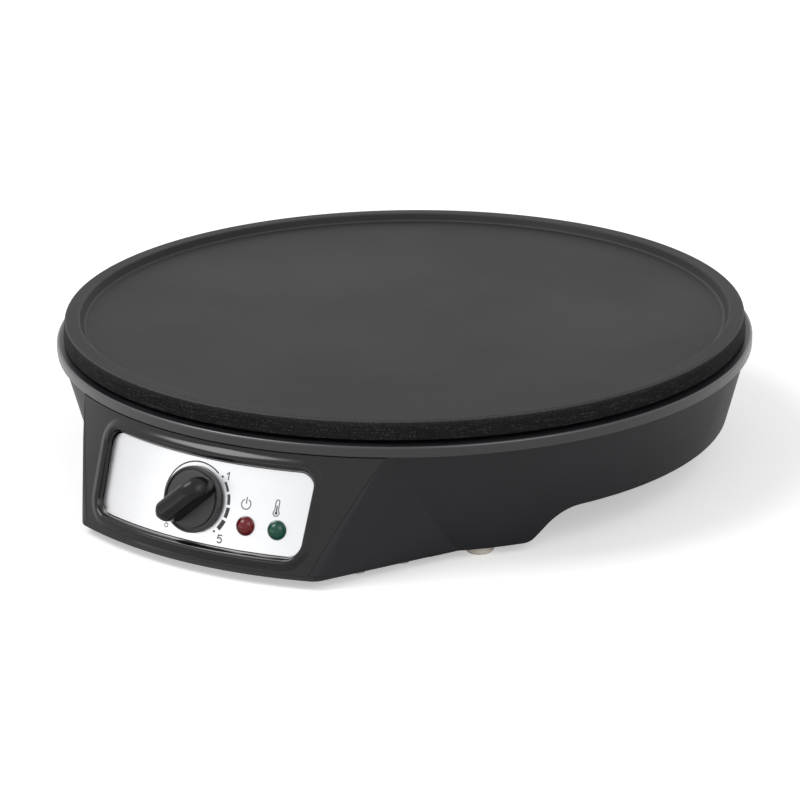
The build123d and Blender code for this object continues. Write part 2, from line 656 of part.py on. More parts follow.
def make_thermostat_shaft():
    """Shaft from the thermostat into the knob, with a flat for the knob."""
    shaft = rod(SHAFT_R, -SHAFT_IN, SHAFT_OUT)
    shaft -= block((SHAFT_FLAT, KNOB_R), (-KNOB_R, KNOB_R), (0, KNOB_H))
    return DIAL * Rot(0, 0, KNOB_OFF_ANGLE) * shaft


def make_thermostat_body():
    """Switch case with its bush in front and two blades behind."""
    front = -BRACKET_DEPTH - BRACKET_T
    case = slab(Plane.XY, RectangleRounded(THERMO_W, THERMO_H, 2.0), front - THERMO_D, front)
    case += rod(BUSH_R, front, -BRACKET_DEPTH + BUSH_PROUD)
    case -= rod(SHAFT_R + RUN_FIT, -SHAFT_IN - 0.3, 0)
    for side in (1, -1):
        x = side * THERMO_W * 0.3
        blade = block((x - TAB_T / 2, x + TAB_T / 2), (0, TAB_W), (front - THERMO_D - TAB_L, front - THERMO_D))
        case += blade
    return DIAL * case


def make_thermostat_bracket():
    """Sheet bracket between the fascia's bosses and the thermostat."""
    outline = Pos(0, BRACKET_RISE) * RectangleRounded(2 * BRACKET_SCREW_U + 7, 10, 2) + Circle(BUSH_R + 3)
    outline -= Circle(BUSH_R + 0.1)
    for side in (1, -1):
        outline -= Pos(side * BRACKET_SCREW_U, BRACKET_RISE) * Circle(SMALL_SCREW_R + THREAD_FIT)
    return slab(DIAL, outline, -BRACKET_DEPTH - BRACKET_T, -BRACKET_DEPTH)


def make_thermostat_nut():
    """Flat nut that clamps the bush to the bracket."""
    ring = RegularPolygon(NUT_AF / 2, 6, major_radius=False) - Circle(BUSH_R + 0.05)
    return slab(DIAL, ring, -BRACKET_DEPTH, -BRACKET_DEPTH + NUT_T)


def small_screw(plane, head_low, bite, u=0.0, v=0.0):
    """Pan-head screw whose head stands on a face and whose shank runs along +z of the plane."""
    screw = pin(plane, SMALL_HEAD_R, head_low - SMALL_HEAD_H, head_low, u, v)
    return screw + pin(plane, SMALL_SCREW_R, head_low, head_low + bite, u, v)


def make_bracket_screws():
    low = -BRACKET_DEPTH - BRACKET_T
    return [
        small_screw(DIAL, low, BRACKET_T + 3.5, side * BRACKET_SCREW_U, BRACKET_RISE) for side in (1, -1)
    ]


def make_fascia_screws():
    plane = Plane.XZ.offset(-EAR_Y)
    z = sum(EAR_Z) / 2
    return [
        small_screw(plane, -EAR_T, EAR_T + SMALL_SCREW_BITE - 0.5, side * EAR_SCREW_X, z)
        for side in (1, -1)
    ]


def make_cover_screws():
    return [
        small_screw(Plane.XY, FOOT_H, 10.0, side * x, y) for side in (1, -1) for x, y, _ in COVER_POSTS
    ]


# ================================ lamps ===========================================================
def make_lens(name):
    """Domed lens with a hollow barrel through the panel."""
    ball_r = (LENS_R**2 + LENS_DOME**2) / (2 * LENS_DOME)
    dome = Pos(0, 0, LENS_DOME - ball_r) * Sphere(ball_r)
    lens = dome & rod(LENS_R, 0.1, LENS_DOME)
    lens += rod(LENS_BARREL_R, -LENS_BARREL_L, 0.1)
    return lamp_plane(name) * (lens - rod(LENS_BARREL_R - LENS_WALL, -LENS_BARREL_L, 0.8))


def make_neon(name):
    """Neon lamp inside the lens, with its two leads."""
    bulb = rod(NEON_R, -NEON_L, 0)
    bulb = fillet(bulb.edges().group_by(Axis.Z)[-1], NEON_R * 0.7)
    for side in (1, -1):
        bulb += rod(0.35, -NEON_L - 4, -NEON_L, side * NEON_R / 2)
    return lamp_plane(name) * bulb


def make_lamp_clips():
    """Push-on rings that hold the lenses from behind."""
    top = -SEAT_BACK - 2 * SEAM
    ring = Circle(CLIP_R) - Circle(LENS_BARREL_R + 0.05)
    return [slab(lamp_plane(name), ring, top - CLIP_T, top) for name in LAMP_ANGLES]


# ================================ griddle plate ===================================================
def make_griddle_plate():
    """Cast plate: raised lip, drafted side, locating skirt, element channel and screw bosses."""
    lip_in = PLATE_R - LIP_W
    skirt_low = PLATE_LOW_Z - SKIRT_H
    outline = [
        (0, COOK_Z),
        (lip_in - LIP_SLOPE, COOK_Z),
        (lip_in, PLATE_TOP_Z),
        (PLATE_R, PLATE_TOP_Z),
        (PLATE_R + PLATE_FLARE, PLATE_LOW_Z),
        (SKIRT_R, PLATE_LOW_Z),
        (SKIRT_R, skirt_low),
        (SKIRT_R - SKIRT_T, skirt_low),
        (SKIRT_R - SKIRT_T, PLATE_UNDER_Z),
        (0, PLATE_UNDER_Z),
    ]
    radii = [1.5, 0.8, PLATE_EDGE_R, 0.5, 0.5, 0.8, 0.5, 1.0]
    curve = FilletPolyline(*outline, radius=radii)
    plate = revolve(Plane.XZ * make_face(curve + Line(outline[-1], outline[0])), Axis.Z)
    groove_r = ELEMENT_TUBE_R + ELEMENT_CLEAR
    rib_low = ELEMENT_Z - ELEMENT_TUBE_R / 2
    plate += rod(ELEMENT_R + groove_r + ELEMENT_RIB_W, rib_low, PLATE_UNDER_Z) - rod(
        ELEMENT_R - groove_r - ELEMENT_RIB_W, rib_low, PLATE_UNDER_Z
    )
    for angle in POST_ANGLES:
        spot = at(POST_PITCH_R, angle)
        plate += rod(BOSS_R, BOSS_Z, PLATE_UNDER_Z, spot.X, spot.Y)
    groove = Plane.XZ * Pos(ELEMENT_R, ELEMENT_Z) * Circle(groove_r)
    slot = Plane.XZ * Pos(ELEMENT_R, rib_low) * Rectangle(2 * groove_r, 2 * (ELEMENT_Z - rib_low))
    plate -= revolve(groove, Axis.Z) + revolve(slot, Axis.Z)
    rib_in, rib_out = ELEMENT_R - 2 * groove_r, ELEMENT_R + 2 * groove_r
    ends = [(rib_in, BOSS_Z), (rib_out, BOSS_Z), (rib_out, PLATE_UNDER_Z), (rib_in, PLATE_UNDER_Z)]
    plate -= sector(ends, -ELEMENT_GAP, ELEMENT_GAP)
    for angle in POST_ANGLES:
        spot = at(POST_PITCH_R, angle)
        plate -= rod(SCREW_R + THREAD_FIT, 0, PLATE_UNDER_Z + SCREW_BITE, spot.X, spot.Y)
    for x, y in (FUSE_SCREW, BULB_SCREW, EARTH_SCREW):
        plate -= rod(SMALL_SCREW_R + THREAD_FIT, 0, PLATE_UNDER_Z + SMALL_BLIND, x, y)
    return plate


def make_heating_element():
    """Sheathed ring in the plate's channel, with both ends turned down."""
    face = Plane.XZ * Pos(ELEMENT_R, ELEMENT_Z) * Circle(ELEMENT_TUBE_R)
    element = Rot(0, 0, ELEMENT_GAP - 90) * revolve(face, Axis.Z, 360 - 2 * ELEMENT_GAP)
    for side in (1, -1):
        end = at(ELEMENT_R, side * ELEMENT_GAP, ELEMENT_Z)
        radial = at(side, side * ELEMENT_GAP)
        ahead = Vector(-cos(radians(ELEMENT_GAP)) * side, -sin(radians(ELEMENT_GAP)), 0)
        ring_end = Plane(origin=end, x_dir=radial, z_dir=ahead) * Circle(ELEMENT_TUBE_R)
        centre = end - Vector(0, 0, ELEMENT_BEND_R)
        element += revolve(ring_end, Axis(centre, radial), 90)
        leg = cold_end(side)
        element += rod(ELEMENT_TUBE_R, COLD_END_Z, ELEMENT_Z - ELEMENT_BEND_R, leg.X, leg.Y)
    return element


def cold_end(side):
    """Plan position of one straight end of the element."""
    end = at(ELEMENT_R, side * ELEMENT_GAP)
    gap = radians(ELEMENT_GAP)
    return end + Vector(-cos(gap) * side, -sin(gap), 0) * ELEMENT_BEND_R


def make_element_insulators():
    beads = []
    for side in (1, -1):
        leg = cold_end(side)
        bead = rod(INSULATOR_R, COLD_END_Z - INSULATOR_H, COLD_END_Z, leg.X, leg.Y)
        beads.append(bead - rod(PIN_R + 0.1, 0, COLD_END_Z, leg.X, leg.Y))
    return beads


def make_element_tabs():
    tabs = []
    low = COLD_END_Z - INSULATOR_H
    for side in (1, -1):
        leg = cold_end(side)
        tab = rod(PIN_R, low - 2, COLD_END_Z, leg.X, leg.Y)
        x = (leg.X - TAB_W / 2, leg.X + TAB_W / 2)
        tab += block(x, (leg.Y - TAB_T / 2, leg.Y + TAB_T / 2), (low - TAB_L, low - 0.5))
        tabs.append(tab)
    return tabs


def make_heat_shield():
    """Thin pan under the element, notched for the element's ends."""
    shield = rod(SHIELD_R, SHIELD_Z, SHIELD_TOP_Z + SHIELD_LIP)
    shield -= rod(SHIELD_R - SHIELD_T, SHIELD_TOP_Z, SHIELD_TOP_Z + SHIELD_LIP)
    shield -= block((-SHIELD_SLOT_X, SHIELD_SLOT_X), (-RIM_R, -SHIELD_SLOT_IN), (0, PLATE_TOP_Z))
    for angle in POST_ANGLES:
        spot = at(POST_PITCH_R, angle)
        shield -= rod(SCREW_R + SCREW_HOLE, 0, PLATE_TOP_Z, spot.X, spot.Y)
    return shield


def make_plate_spacers():
    spacers = []
    for angle in POST_ANGLES:
        spot = at(POST_PITCH_R, angle)
        sleeve = rod(POST_R, SHIELD_TOP_Z, BOSS_Z, spot.X, spot.Y)
        spacers.append(sleeve - rod(SCREW_R + SCREW_HOLE, 0, PLATE_TOP_Z, spot.X, spot.Y))
    return spacers


def make_plate_screws():
    screws = []
    head_top = BOWL_FLOOR_Z + POST_COUNTERBORE
    for angle in POST_ANGLES:
        spot = at(POST_PITCH_R, angle)
        screw = rod(HEAD_R, head_top - HEAD_H, head_top, spot.X, spot.Y)
        screw += rod(SCREW_R, head_top, PLATE_UNDER_Z + SCREW_BITE - 0.5, spot.X, spot.Y)
        driver = extrude(RegularPolygon(1.6, 6), 1.5)
        screws.append(screw - Pos(spot.X, spot.Y, head_top - HEAD_H) * driver)
    return screws


# ================================ plate's underside fittings ======================================
def saddle(r, length, y, screw):
    """Sheet saddle that holds a round piece, lying along X at y, to the plate's underside."""
    centre = PLATE_UNDER_Z - r - 0.1
    plane = Plane.YZ.offset(-length / 2)
    ring = Circle(r + 0.1 + TAB_T) - Circle(r + 0.1)
    ring -= Pos(0, 2 * r) * Rectangle(4 * r, 4 * r)
    shell = extrude(plane * Pos(y, centre) * ring, length)
    for side in (1, -1):
        edge = y + side * (r + 0.1 + TAB_T / 2)
        limits = (edge - TAB_T / 2, edge + TAB_T / 2)
        shell += block((-length / 2, length / 2), limits, (centre, PLATE_UNDER_Z))
    low, high = sorted((y + r + 0.1, screw[1] + 2 * SMALL_HEAD_R * (1 if screw[1] > y else -1)))
    ear = block((-length / 2, length / 2), (low, high), (PLATE_UNDER_Z - TAB_T, PLATE_UNDER_Z))
    shell += ear
    shell -= Plane.YZ.offset(-length) * Pos(y, centre) * Cylinder(r + 0.1, 4 * length)
    return shell - rod(SMALL_SCREW_R + THREAD_FIT, 0, PLATE_TOP_Z, *screw)


def make_thermal_fuse():
    """One-shot cut-out on the plate, with its leads."""
    centre = PLATE_UNDER_Z - FUSE_R - 0.05
    plane = Plane.YZ.offset(-FUSE_L / 2)
    fuse = pin(plane, FUSE_R, 0, FUSE_L, FUSE_Y, centre)
    return fuse + pin(plane, 0.6, -FUSE_LEAD, FUSE_L + FUSE_LEAD, FUSE_Y, centre)


def make_thermostat_bulb():
    """Sensing bulb under the plate and its capillary tube to the thermostat."""
    centre = PLATE_UNDER_Z - BULB_R - 0.05
    bulb = pin(Plane.YZ, BULB_R, -BULB_L / 2, BULB_L / 2, BULB_Y, centre)
    back = -BRACKET_DEPTH - BRACKET_T - THERMO_D
    start = DIAL.from_local_coords(Vector(-THERMO_W * 0.15, -4, back))
    away = DIAL.from_local_coords(Vector(-THERMO_W * 0.15, -4, back - 12))
    end = -BULB_L / 2
    route = [start, away, (end, -104, 30), (end - 5.5, -74, 40), (end - 5.5, BULB_Y, centre)]
    return bulb + tube(route + [(end, BULB_Y, centre)], CAPILLARY_R)


def upward_screw(spot, sheet=TAB_T):
    """Small screw from below into the plate, through a sheet of the given thickness."""
    plane = Plane.XY.offset(PLATE_UNDER_Z)
    return small_screw(plane, -sheet, sheet + SMALL_BLIND - 0.3, *spot)


def make_earth_lug():
    """Ring tongue under the plate's earth screw, with a blade for the wire."""
    x, y = EARTH_SCREW
    low, high = PLATE_UNDER_Z - TAB_T, PLATE_UNDER_Z
    lug = rod(4.0, low, high, x, y) + block((x - 2.4, x + 2.4), (y, y + 8), (low, high))
    lug += block((x - 2.4, x + 2.4), (y + 8 - TAB_T, y + 8), (PLATE_UNDER_Z - 8, high))
    return lug - rod(SMALL_SCREW_R + THREAD_FIT, 0, PLATE_TOP_Z, x, y)


# ================================ cord outlet, terminal block, feet ===============================
def make_cord_grommet():
    """Rubber bush in the rear wall, with a flange on each side of the wall."""
    plane = rear_plane()
    inner = -WALL - 2 * SEAM
    bush = pin(plane, OUTLET_NECK_R, inner, 0.05)
    bush += pin(plane, OUTLET_FLANGE_R, 0.05, 0.05 + OUTLET_FLANGE_T)
    bush += pin(plane, OUTLET_FLANGE_R, inner - OUTLET_FLANGE_T, inner)
    return bush - pin(plane, OUTLET_BORE_R, -4 * WALL, 4 * WALL)


def block_ways():
    return [(i - 1) * BLOCK_PITCH for i in range(3)]


def make_terminal_block():
    """Three-way block on the floor in front of the cord outlet."""
    y = (BLOCK_Y - BLOCK_L / 2, BLOCK_Y + BLOCK_L / 2)
    body = block((-BLOCK_W / 2, BLOCK_W / 2), y, (BLOCK_Z, BLOCK_Z + BLOCK_H))
    body = chamfer(body.edges().filter_by(Axis.Z), 1.0)
    plane = Plane.XZ.offset(-y[1])
    for x in block_ways():
        body -= pin(plane, BLOCK_SLEEVE_R + 0.05, -1, BLOCK_L + 1, x, BLOCK_WAY_Z)
        for dy in (-BLOCK_L / 4, BLOCK_L / 4):
            body -= rod(BLOCK_SCREW_R + 0.3, BLOCK_WAY_Z, PLATE_TOP_Z, x, BLOCK_Y + dy)
    for x in (-BLOCK_PITCH / 2, BLOCK_PITCH / 2):
        body -= rod(SMALL_SCREW_R + THREAD_FIT, 0, PLATE_TOP_Z, x, BLOCK_Y)
        body -= rod(SMALL_HEAD_R + 0.2, BLOCK_Z + BLOCK_H / 2, PLATE_TOP_Z, x, BLOCK_Y)
    return body


def make_terminal_sleeves():
    plane = Plane.XZ.offset(-BLOCK_Y - BLOCK_L / 2)
    sleeves = []
    for x in block_ways():
        sleeve = pin(plane, BLOCK_SLEEVE_R, 0.5, BLOCK_L - 0.5, x, BLOCK_WAY_Z)
        sleeve -= pin(plane, BLOCK_WAY_R, -1, BLOCK_L + 1, x, BLOCK_WAY_Z)
        for dy in (-BLOCK_L / 4, BLOCK_L / 4):
            sleeve -= rod(BLOCK_SCREW_R + 0.05, BLOCK_WAY_Z, PLATE_TOP_Z, x, BLOCK_Y + dy)
        sleeves.append(sleeve)
    return sleeves


def make_terminal_screws():
    top = BLOCK_Z + BLOCK_H - 1
    return [
        rod(BLOCK_SCREW_R, BLOCK_WAY_Z + 0.6, top, x, BLOCK_Y + dy)
        for x in block_ways() for dy in (-BLOCK_L / 4, BLOCK_L / 4)
    ]


def make_block_screws():
    plane = Plane.XY.offset(BLOCK_Z + BLOCK_H / 2) * Rot(180, 0, 0)
    bite = BLOCK_H / 2 + SMALL_SCREW_BITE
    return [small_screw(plane, 0, bite, x, -BLOCK_Y) for x in (-BLOCK_PITCH / 2, BLOCK_PITCH / 2)]


def make_foot(angle):
    """Push-in rubber foot."""
    spot = at(FOOT_PITCH_R, angle)
    foot = rod(FOOT_R, 0, FOOT_H, spot.X, spot.Y)
    foot = chamfer(foot.edges().group_by(Axis.Z)[0], FOOT_BEVEL)
    foot += rod(FOOT_STEM_R, FOOT_H, FOOT_H + WALL + 2.5, spot.X, spot.Y)
    return foot + rod(FOOT_BARB_R, FOOT_H + WALL + 0.1, FOOT_H + WALL + 1.6, spot.X, spot.Y)


# ================================ the whole object ================================================
NODES = {
    "griddle_plate": make_griddle_plate(),
    "heating_element": make_heating_element(),
    "element_insulators": make_element_insulators(),
    "element_tabs": make_element_tabs(),
    "heat_shield": make_heat_shield(),
    "plate_spacers": make_plate_spacers(),
    "plate_screws": make_plate_screws(),
    "thermostat_bulb": make_thermostat_bulb(),
    "bulb_saddle": saddle(BULB_R, 12.0, BULB_Y, BULB_SCREW),
    "bulb_saddle_screw": upward_screw(BULB_SCREW),
    "thermal_fuse": make_thermal_fuse(),
    "fuse_saddle": saddle(FUSE_R, 8.0, FUSE_Y, FUSE_SCREW),
    "fuse_saddle_screw": upward_screw(FUSE_SCREW),
    "earth_lug": make_earth_lug(),
    "earth_screw": upward_screw(EARTH_SCREW),
    "base_housing": make_base_housing(),
    "control_fascia": make_control_fascia(),
    "fascia_screws": make_fascia_screws(),
    "control_panel": make_control_panel(),
    "control_box_cover": make_control_box_cover(),
    "cover_screws": make_cover_screws(),
    "power_lamp_lens": make_lens("power"),
    "heat_lamp_lens": make_lens("heat"),
    "power_neon_lamp": make_neon("power"),
    "heat_neon_lamp": make_neon("heat"),
    "lamp_clips": make_lamp_clips(),
    "thermostat_body": make_thermostat_body(),
    "thermostat_bracket": make_thermostat_bracket(),
    "thermostat_nut": make_thermostat_nut(),
    "bracket_screws": make_bracket_screws(),
    "thermostat_shaft": make_thermostat_shaft(),
    "knob": make_knob(),
    "cord_grommet": make_cord_grommet(),
    "terminal_block": make_terminal_block(),
    "terminal_sleeves": make_terminal_sleeves(),
    "terminal_screws": make_terminal_screws(),
    "block_screws": make_block_screws(),
}
NODES |= {name: make_foot(angle) for name, angle in FEET.items()}

# the plate's axis lies behind the origin, which is under the middle of the whole object
axis_y = -(RIM_R + NODES["knob"].bounding_box().min.Y) / 2
for name, node in NODES.items():
    pieces = node if isinstance(node, list) else [node]
    export_step(Compound(children=[Pos(0, axis_y, 0) * piece for piece in pieces]), f"parts/{name}.step")
print("plate axis at y =", round(axis_y, 4))
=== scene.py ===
"""Electric crepe maker: finishes, printed panel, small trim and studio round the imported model."""

from __future__ import annotations

import json
import logging
import math
import sys
from collections.abc import Iterable, Sequence
from dataclasses import dataclass, field
from enum import Enum
from typing import Any

import bmesh
import bpy
from bpy.types import Material, Mesh, Node, NodeSocket, NodeTree, Object
from mathutils import Matrix, Vector


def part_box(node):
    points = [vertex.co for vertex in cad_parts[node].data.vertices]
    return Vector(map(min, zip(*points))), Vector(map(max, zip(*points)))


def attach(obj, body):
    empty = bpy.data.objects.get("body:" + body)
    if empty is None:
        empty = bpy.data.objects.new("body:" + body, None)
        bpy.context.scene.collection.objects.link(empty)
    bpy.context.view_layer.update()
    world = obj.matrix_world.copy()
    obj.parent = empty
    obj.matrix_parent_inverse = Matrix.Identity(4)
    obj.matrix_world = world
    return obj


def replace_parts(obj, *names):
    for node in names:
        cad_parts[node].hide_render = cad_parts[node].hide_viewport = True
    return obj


LOG = logging.getLogger("crepe_maker")
MM = 0.001

Colour = tuple[float, float, float, float]
Point = tuple[float, float]
Face = tuple[int, ...]
Shape = tuple[list[Vector], list[Face]]

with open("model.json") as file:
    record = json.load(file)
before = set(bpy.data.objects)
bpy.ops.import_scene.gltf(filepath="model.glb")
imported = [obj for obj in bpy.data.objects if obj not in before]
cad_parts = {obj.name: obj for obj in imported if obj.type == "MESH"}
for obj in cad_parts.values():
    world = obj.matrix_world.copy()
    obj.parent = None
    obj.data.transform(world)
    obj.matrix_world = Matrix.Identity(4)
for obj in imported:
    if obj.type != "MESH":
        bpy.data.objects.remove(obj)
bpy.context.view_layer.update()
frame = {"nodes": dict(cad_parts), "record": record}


class Body(Enum):
    """The two bodies that pieces ride on."""

    BASE = "crepe_maker"
    KNOB = "knob"


def plate_axis() -> Vector:
    """Foot of the griddle plate's own axis, in metres."""
    low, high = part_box("griddle_plate")
    return Vector(((low.x + high.x) / 2, (low.y + high.y) / 2, 0.0))


AXIS = plate_axis()


# node trees
class Graph:
    """Short way to add nodes to a tree and to join them."""

    def __init__(self, tree: NodeTree) -> None:
        """Takes over a node tree."""
        self.tree = tree

    def feed(self, socket: NodeSocket, value: Any) -> None:
        """Links an output to a socket, or sets the socket's own value.

        Args:
            socket: the input that is fed.
            value: an output socket, or a number, vector, colour or material.
        """
        if isinstance(value, NodeSocket):
            self.tree.links.new(value, socket)
        else:
            socket.default_value = value

    def wire(self, node: Node, inputs: dict[Any, Any]) -> None:
        """Feeds several inputs of a node, by name or index."""
        for key, value in inputs.items():
            self.feed(node.inputs[key], value)

    def node(self, kind: str, inputs: dict[Any, Any] | None = None, **settings: Any) -> Node:
        """Adds a node.

        Args:
            kind: Blender's name for the kind of node.
            inputs: values or outputs for its inputs, by name or index.
            settings: the node's own settings, which are set before its inputs.

        Returns:
            The new node.
        """
        node = self.tree.nodes.new(kind)
        for key, value in settings.items():
            setattr(node, key, value)
        self.wire(node, inputs or {})
        return node

    def math(self, operation: str, *values: Any, clamp: bool = False) -> NodeSocket:
        """Output of a Math node, kept between 0 and 1 where clamp is set."""
        node = self.node("ShaderNodeMath", dict(enumerate(values)), operation=operation, use_clamp=clamp)
        return node.outputs[0]

    def vector(self, operation: str, *values: Any) -> Node:
        """Adds a Vector Math node."""
        return self.node("ShaderNodeVectorMath", dict(enumerate(values)), operation=operation)

    def blend(self, mask: Any, low: Any, high: Any) -> NodeSocket:
        """Mixes two colours: the first where the mask is 0, the second where it is 1."""
        return self.node("ShaderNodeMix", {0: mask, 6: low, 7: high}, data_type="RGBA").outputs[2]

    def between(self, mask: Any, low: Any, high: Any) -> NodeSocket:
        """Spreads a mask of 0 to 1 over the range from low to high."""
        return self.node("ShaderNodeMapRange", {0: mask, 3: low, 4: high}).outputs[0]

    def step(self, value: Any, start: Any, end: Any) -> NodeSocket:
        """Smooth step from 0 at start to 1 at end."""
        node = self.node("ShaderNodeMapRange", {0: value, 1: start, 2: end}, interpolation_type="SMOOTHSTEP")
        return node.outputs[0]

    def use(self, group: NodeTree, inputs: dict[str, Any]) -> Node:
        """Places a node group and feeds its named inputs."""
        kind = "ShaderNodeGroup" if self.tree.bl_idname == "ShaderNodeTree" else "GeometryNodeGroup"
        return self.node(kind, inputs, node_tree=group)

    def place(self) -> NodeSocket:
        """Place of the shaded point in the object's own coordinates."""
        return self.node("ShaderNodeTexCoord").outputs["Object"]


def new_group(
    name: str, kind: str, inputs: dict[str, Any], outputs: dict[str, str]
) -> tuple[Graph, Any, Any]:
    """Starts a node group with named sockets.

    Args:
        name: the group's name.
        kind: ShaderNodeTree or GeometryNodeTree.
        inputs: socket name to socket type, or to (socket type, default).
        outputs: socket name to socket type.

    Returns:
        The graph, the group's input node and its output node.
    """
    tree = bpy.data.node_groups.new(name, kind)
    for label, spec in inputs.items():
        socket_type, default = spec if isinstance(spec, tuple) else (spec, None)
        socket = tree.interface.new_socket(label, in_out="INPUT", socket_type=f"NodeSocket{socket_type}")
        if default is not None:
            socket.default_value = default
    for label, socket_type in outputs.items():
        tree.interface.new_socket(label, in_out="OUTPUT", socket_type=f"NodeSocket{socket_type}")
    return Graph(tree), tree.nodes.new("NodeGroupInput"), tree.nodes.new("NodeGroupOutput")


# shared effects of the finishes
class Effects:
    """Shader node groups that several finishes share, each built once."""

    noise_range = (0.3, 0.7)
    ring_range = (0.35, 0.65)
    ring_depth = 0.00005
    fade = 0.001

    def __init__(self) -> None:
        """Builds the groups."""
        self.grain = self._grain()
        self.mottle = self._mottle()
        self.turned = self._turned()
        self.band = self._band()
        self.brushed = self._brushed()

    @classmethod
    def _grain(cls) -> NodeTree:
        """Fine moulded or sprayed grain: a mask and a bumped normal.

        Returns:
            The group's tree.
        """
        g, into, out = new_group(
            "fine_grain", "ShaderNodeTree",
            {"Scale": ("Float", 3000.0), "Strength": ("Float", 0.2), "Depth": ("Float", 0.0001)},
            {"Mask": "Float", "Normal": "Vector"},
        )
        scale, strength, depth = into.outputs[:3]
        noise = g.node("ShaderNodeTexNoise", {"Vector": g.place(), "Scale": scale, "Detail": 3.0}).outputs[0]
        bump = g.node("ShaderNodeBump", {"Strength": strength, "Distance": depth, "Height": noise})
        g.wire(out, {0: g.step(noise, *cls.noise_range), 1: bump.outputs[0]})
        return g.tree

    @classmethod
    def _mottle(cls) -> NodeTree:
        """Wide soft unevenness, such as handling and uneven spray leave.

        Returns:
            The group's tree.
        """
        g, into, out = new_group(
            "soft_mottle", "ShaderNodeTree",
            {"Scale": ("Float", 25.0), "Low": ("Float", 0.0), "High": ("Float", 1.0)}, {"Value": "Float"},
        )
        scale, low, high = into.outputs[:3]
        noise = g.node("ShaderNodeTexNoise", {"Vector": g.place(), "Scale": scale, "Detail": 4.0}).outputs[0]
        g.wire(out, {0: g.between(g.step(noise, *cls.noise_range), low, high)})
        return g.tree

    @staticmethod
    def _radius_and_height(g: Graph) -> tuple[NodeSocket, NodeSocket]:
        """Distance from the plate's axis, and height over the table.

        Args:
            g: the graph that the nodes are added to.

        Returns:
            The two outputs.
        """
        place = g.place()
        off = g.vector("SUBTRACT", place, tuple(AXIS)).outputs[0]
        flat = g.vector("MULTIPLY", off, (1.0, 1.0, 0.0)).outputs[0]
        height = g.node("ShaderNodeSeparateXYZ", {0: place}).outputs[2]
        return g.vector("LENGTH", flat).outputs["Value"], height

    @classmethod
    def _turned(cls) -> NodeTree:
        """Uneven fine rings about the plate's axis, as turning leaves them under a coating.

        Returns:
            The group's tree.
        """
        g, into, out = new_group(
            "turned_rings", "ShaderNodeTree",
            {"Pitch": ("Float", 0.0006), "Strength": ("Float", 0.2), "Normal": "Vector"},
            {"Mask": "Float", "Normal": "Vector"},
        )
        pitch, strength, normal = into.outputs[:3]
        line = g.math("DIVIDE", g.math("ADD", *cls._radius_and_height(g)), pitch)
        rings = g.node("ShaderNodeTexNoise", {"W": line, "Scale": 1.0, "Detail": 2.0}, noise_dimensions="1D")
        mask = g.step(rings.outputs[0], *cls.ring_range)
        pressed = {"Strength": strength, "Distance": cls.ring_depth, "Height": mask, "Normal": normal}
        g.wire(out, {0: mask, 1: g.node("ShaderNodeBump", pressed).outputs[0]})
        return g.tree

    @classmethod
    def _band(cls) -> NodeTree:
        """Soft band of 1 about one radius and over one height, for edges where a highlight is painted.

        Returns:
            The group's tree.
        """
        g, into, out = new_group(
            "edge_band", "ShaderNodeTree",
            {"Radius": ("Float", 0.15), "Width": ("Float", 0.001), "From Height": ("Float", -1.0)},
            {"Mask": "Float"},
        )
        middle, width, start = into.outputs[:3]
        radius, height = cls._radius_and_height(g)
        away = g.math("ABSOLUTE", g.math("SUBTRACT", radius, middle))
        near = g.math("SUBTRACT", 1.0, g.step(g.math("DIVIDE", away, width), 0.0, 1.0))
        high = g.step(height, start, g.math("ADD", start, cls.fade))
        g.wire(out, {0: g.math("MULTIPLY", near, high)})
        return g.tree

    @classmethod
    def _brushed(cls) -> NodeTree:
        """Short fine strokes along X, as on brushed sheet.

        Returns:
            The group's tree.
        """
        g, into, out = new_group(
            "brushed_strokes", "ShaderNodeTree",
            {"Length": ("Float", 60.0), "Fineness": ("Float", 9000.0)}, {"Mask": "Float"},
        )
        length, fineness = into.outputs[:2]
        scale = g.node("ShaderNodeCombineXYZ", {0: length, 1: length, 2: fineness}).outputs[0]
        spread = g.vector("MULTIPLY", g.place(), scale).outputs[0]
        noise = g.node("ShaderNodeTexNoise", {"Vector": spread, "Scale": 1.0, "Detail": 2.0}).outputs[0]
        g.wire(out, {0: g.step(noise, *cls.noise_range)})
        return g.tree


class Paint(Graph):
    """Graph of one material, with its Principled shader and the shared effects."""

    def __init__(self, name: str, fx: Effects) -> None:
        """Starts the material.

        Args:
            name: the material's name.
            fx: the shared effects.
        """
        self.material = bpy.data.materials.new(name)
        self.material.use_nodes = True
        super().__init__(self.material.node_tree)
        self.shader = self.tree.nodes["Principled BSDF"]
        self.fx = fx

    def grain(self, scale: float, strength: float, depth: float) -> Node:
        """Places the fine grain, with its outputs Mask and Normal."""
        return self.use(self.fx.grain, {"Scale": scale, "Strength": strength, "Depth": depth})

    def mottle(self, scale: float, low: float = 0.0, high: float = 1.0) -> NodeSocket:
        """Places the soft unevenness and returns its value."""
        return self.use(self.fx.mottle, {"Scale": scale, "Low": low, "High": high}).outputs[0]

    def strokes(self, length: float, fineness: float) -> NodeSocket:
        """Places the brushed strokes and returns their mask."""
        return self.use(self.fx.brushed, {"Length": length, "Fineness": fineness}).outputs[0]

    def band(self, radius: float, width: float, start: float = -1.0) -> NodeSocket:
        """Places the band about a radius and over a height, and returns its mask."""
        return self.use(self.fx.band, {"Radius": radius, "Width": width, "From Height": start}).outputs[0]


def colour(r: float, g: float, b: float) -> Colour:
    """Opaque colour."""
    return (r, g, b, 1.0)


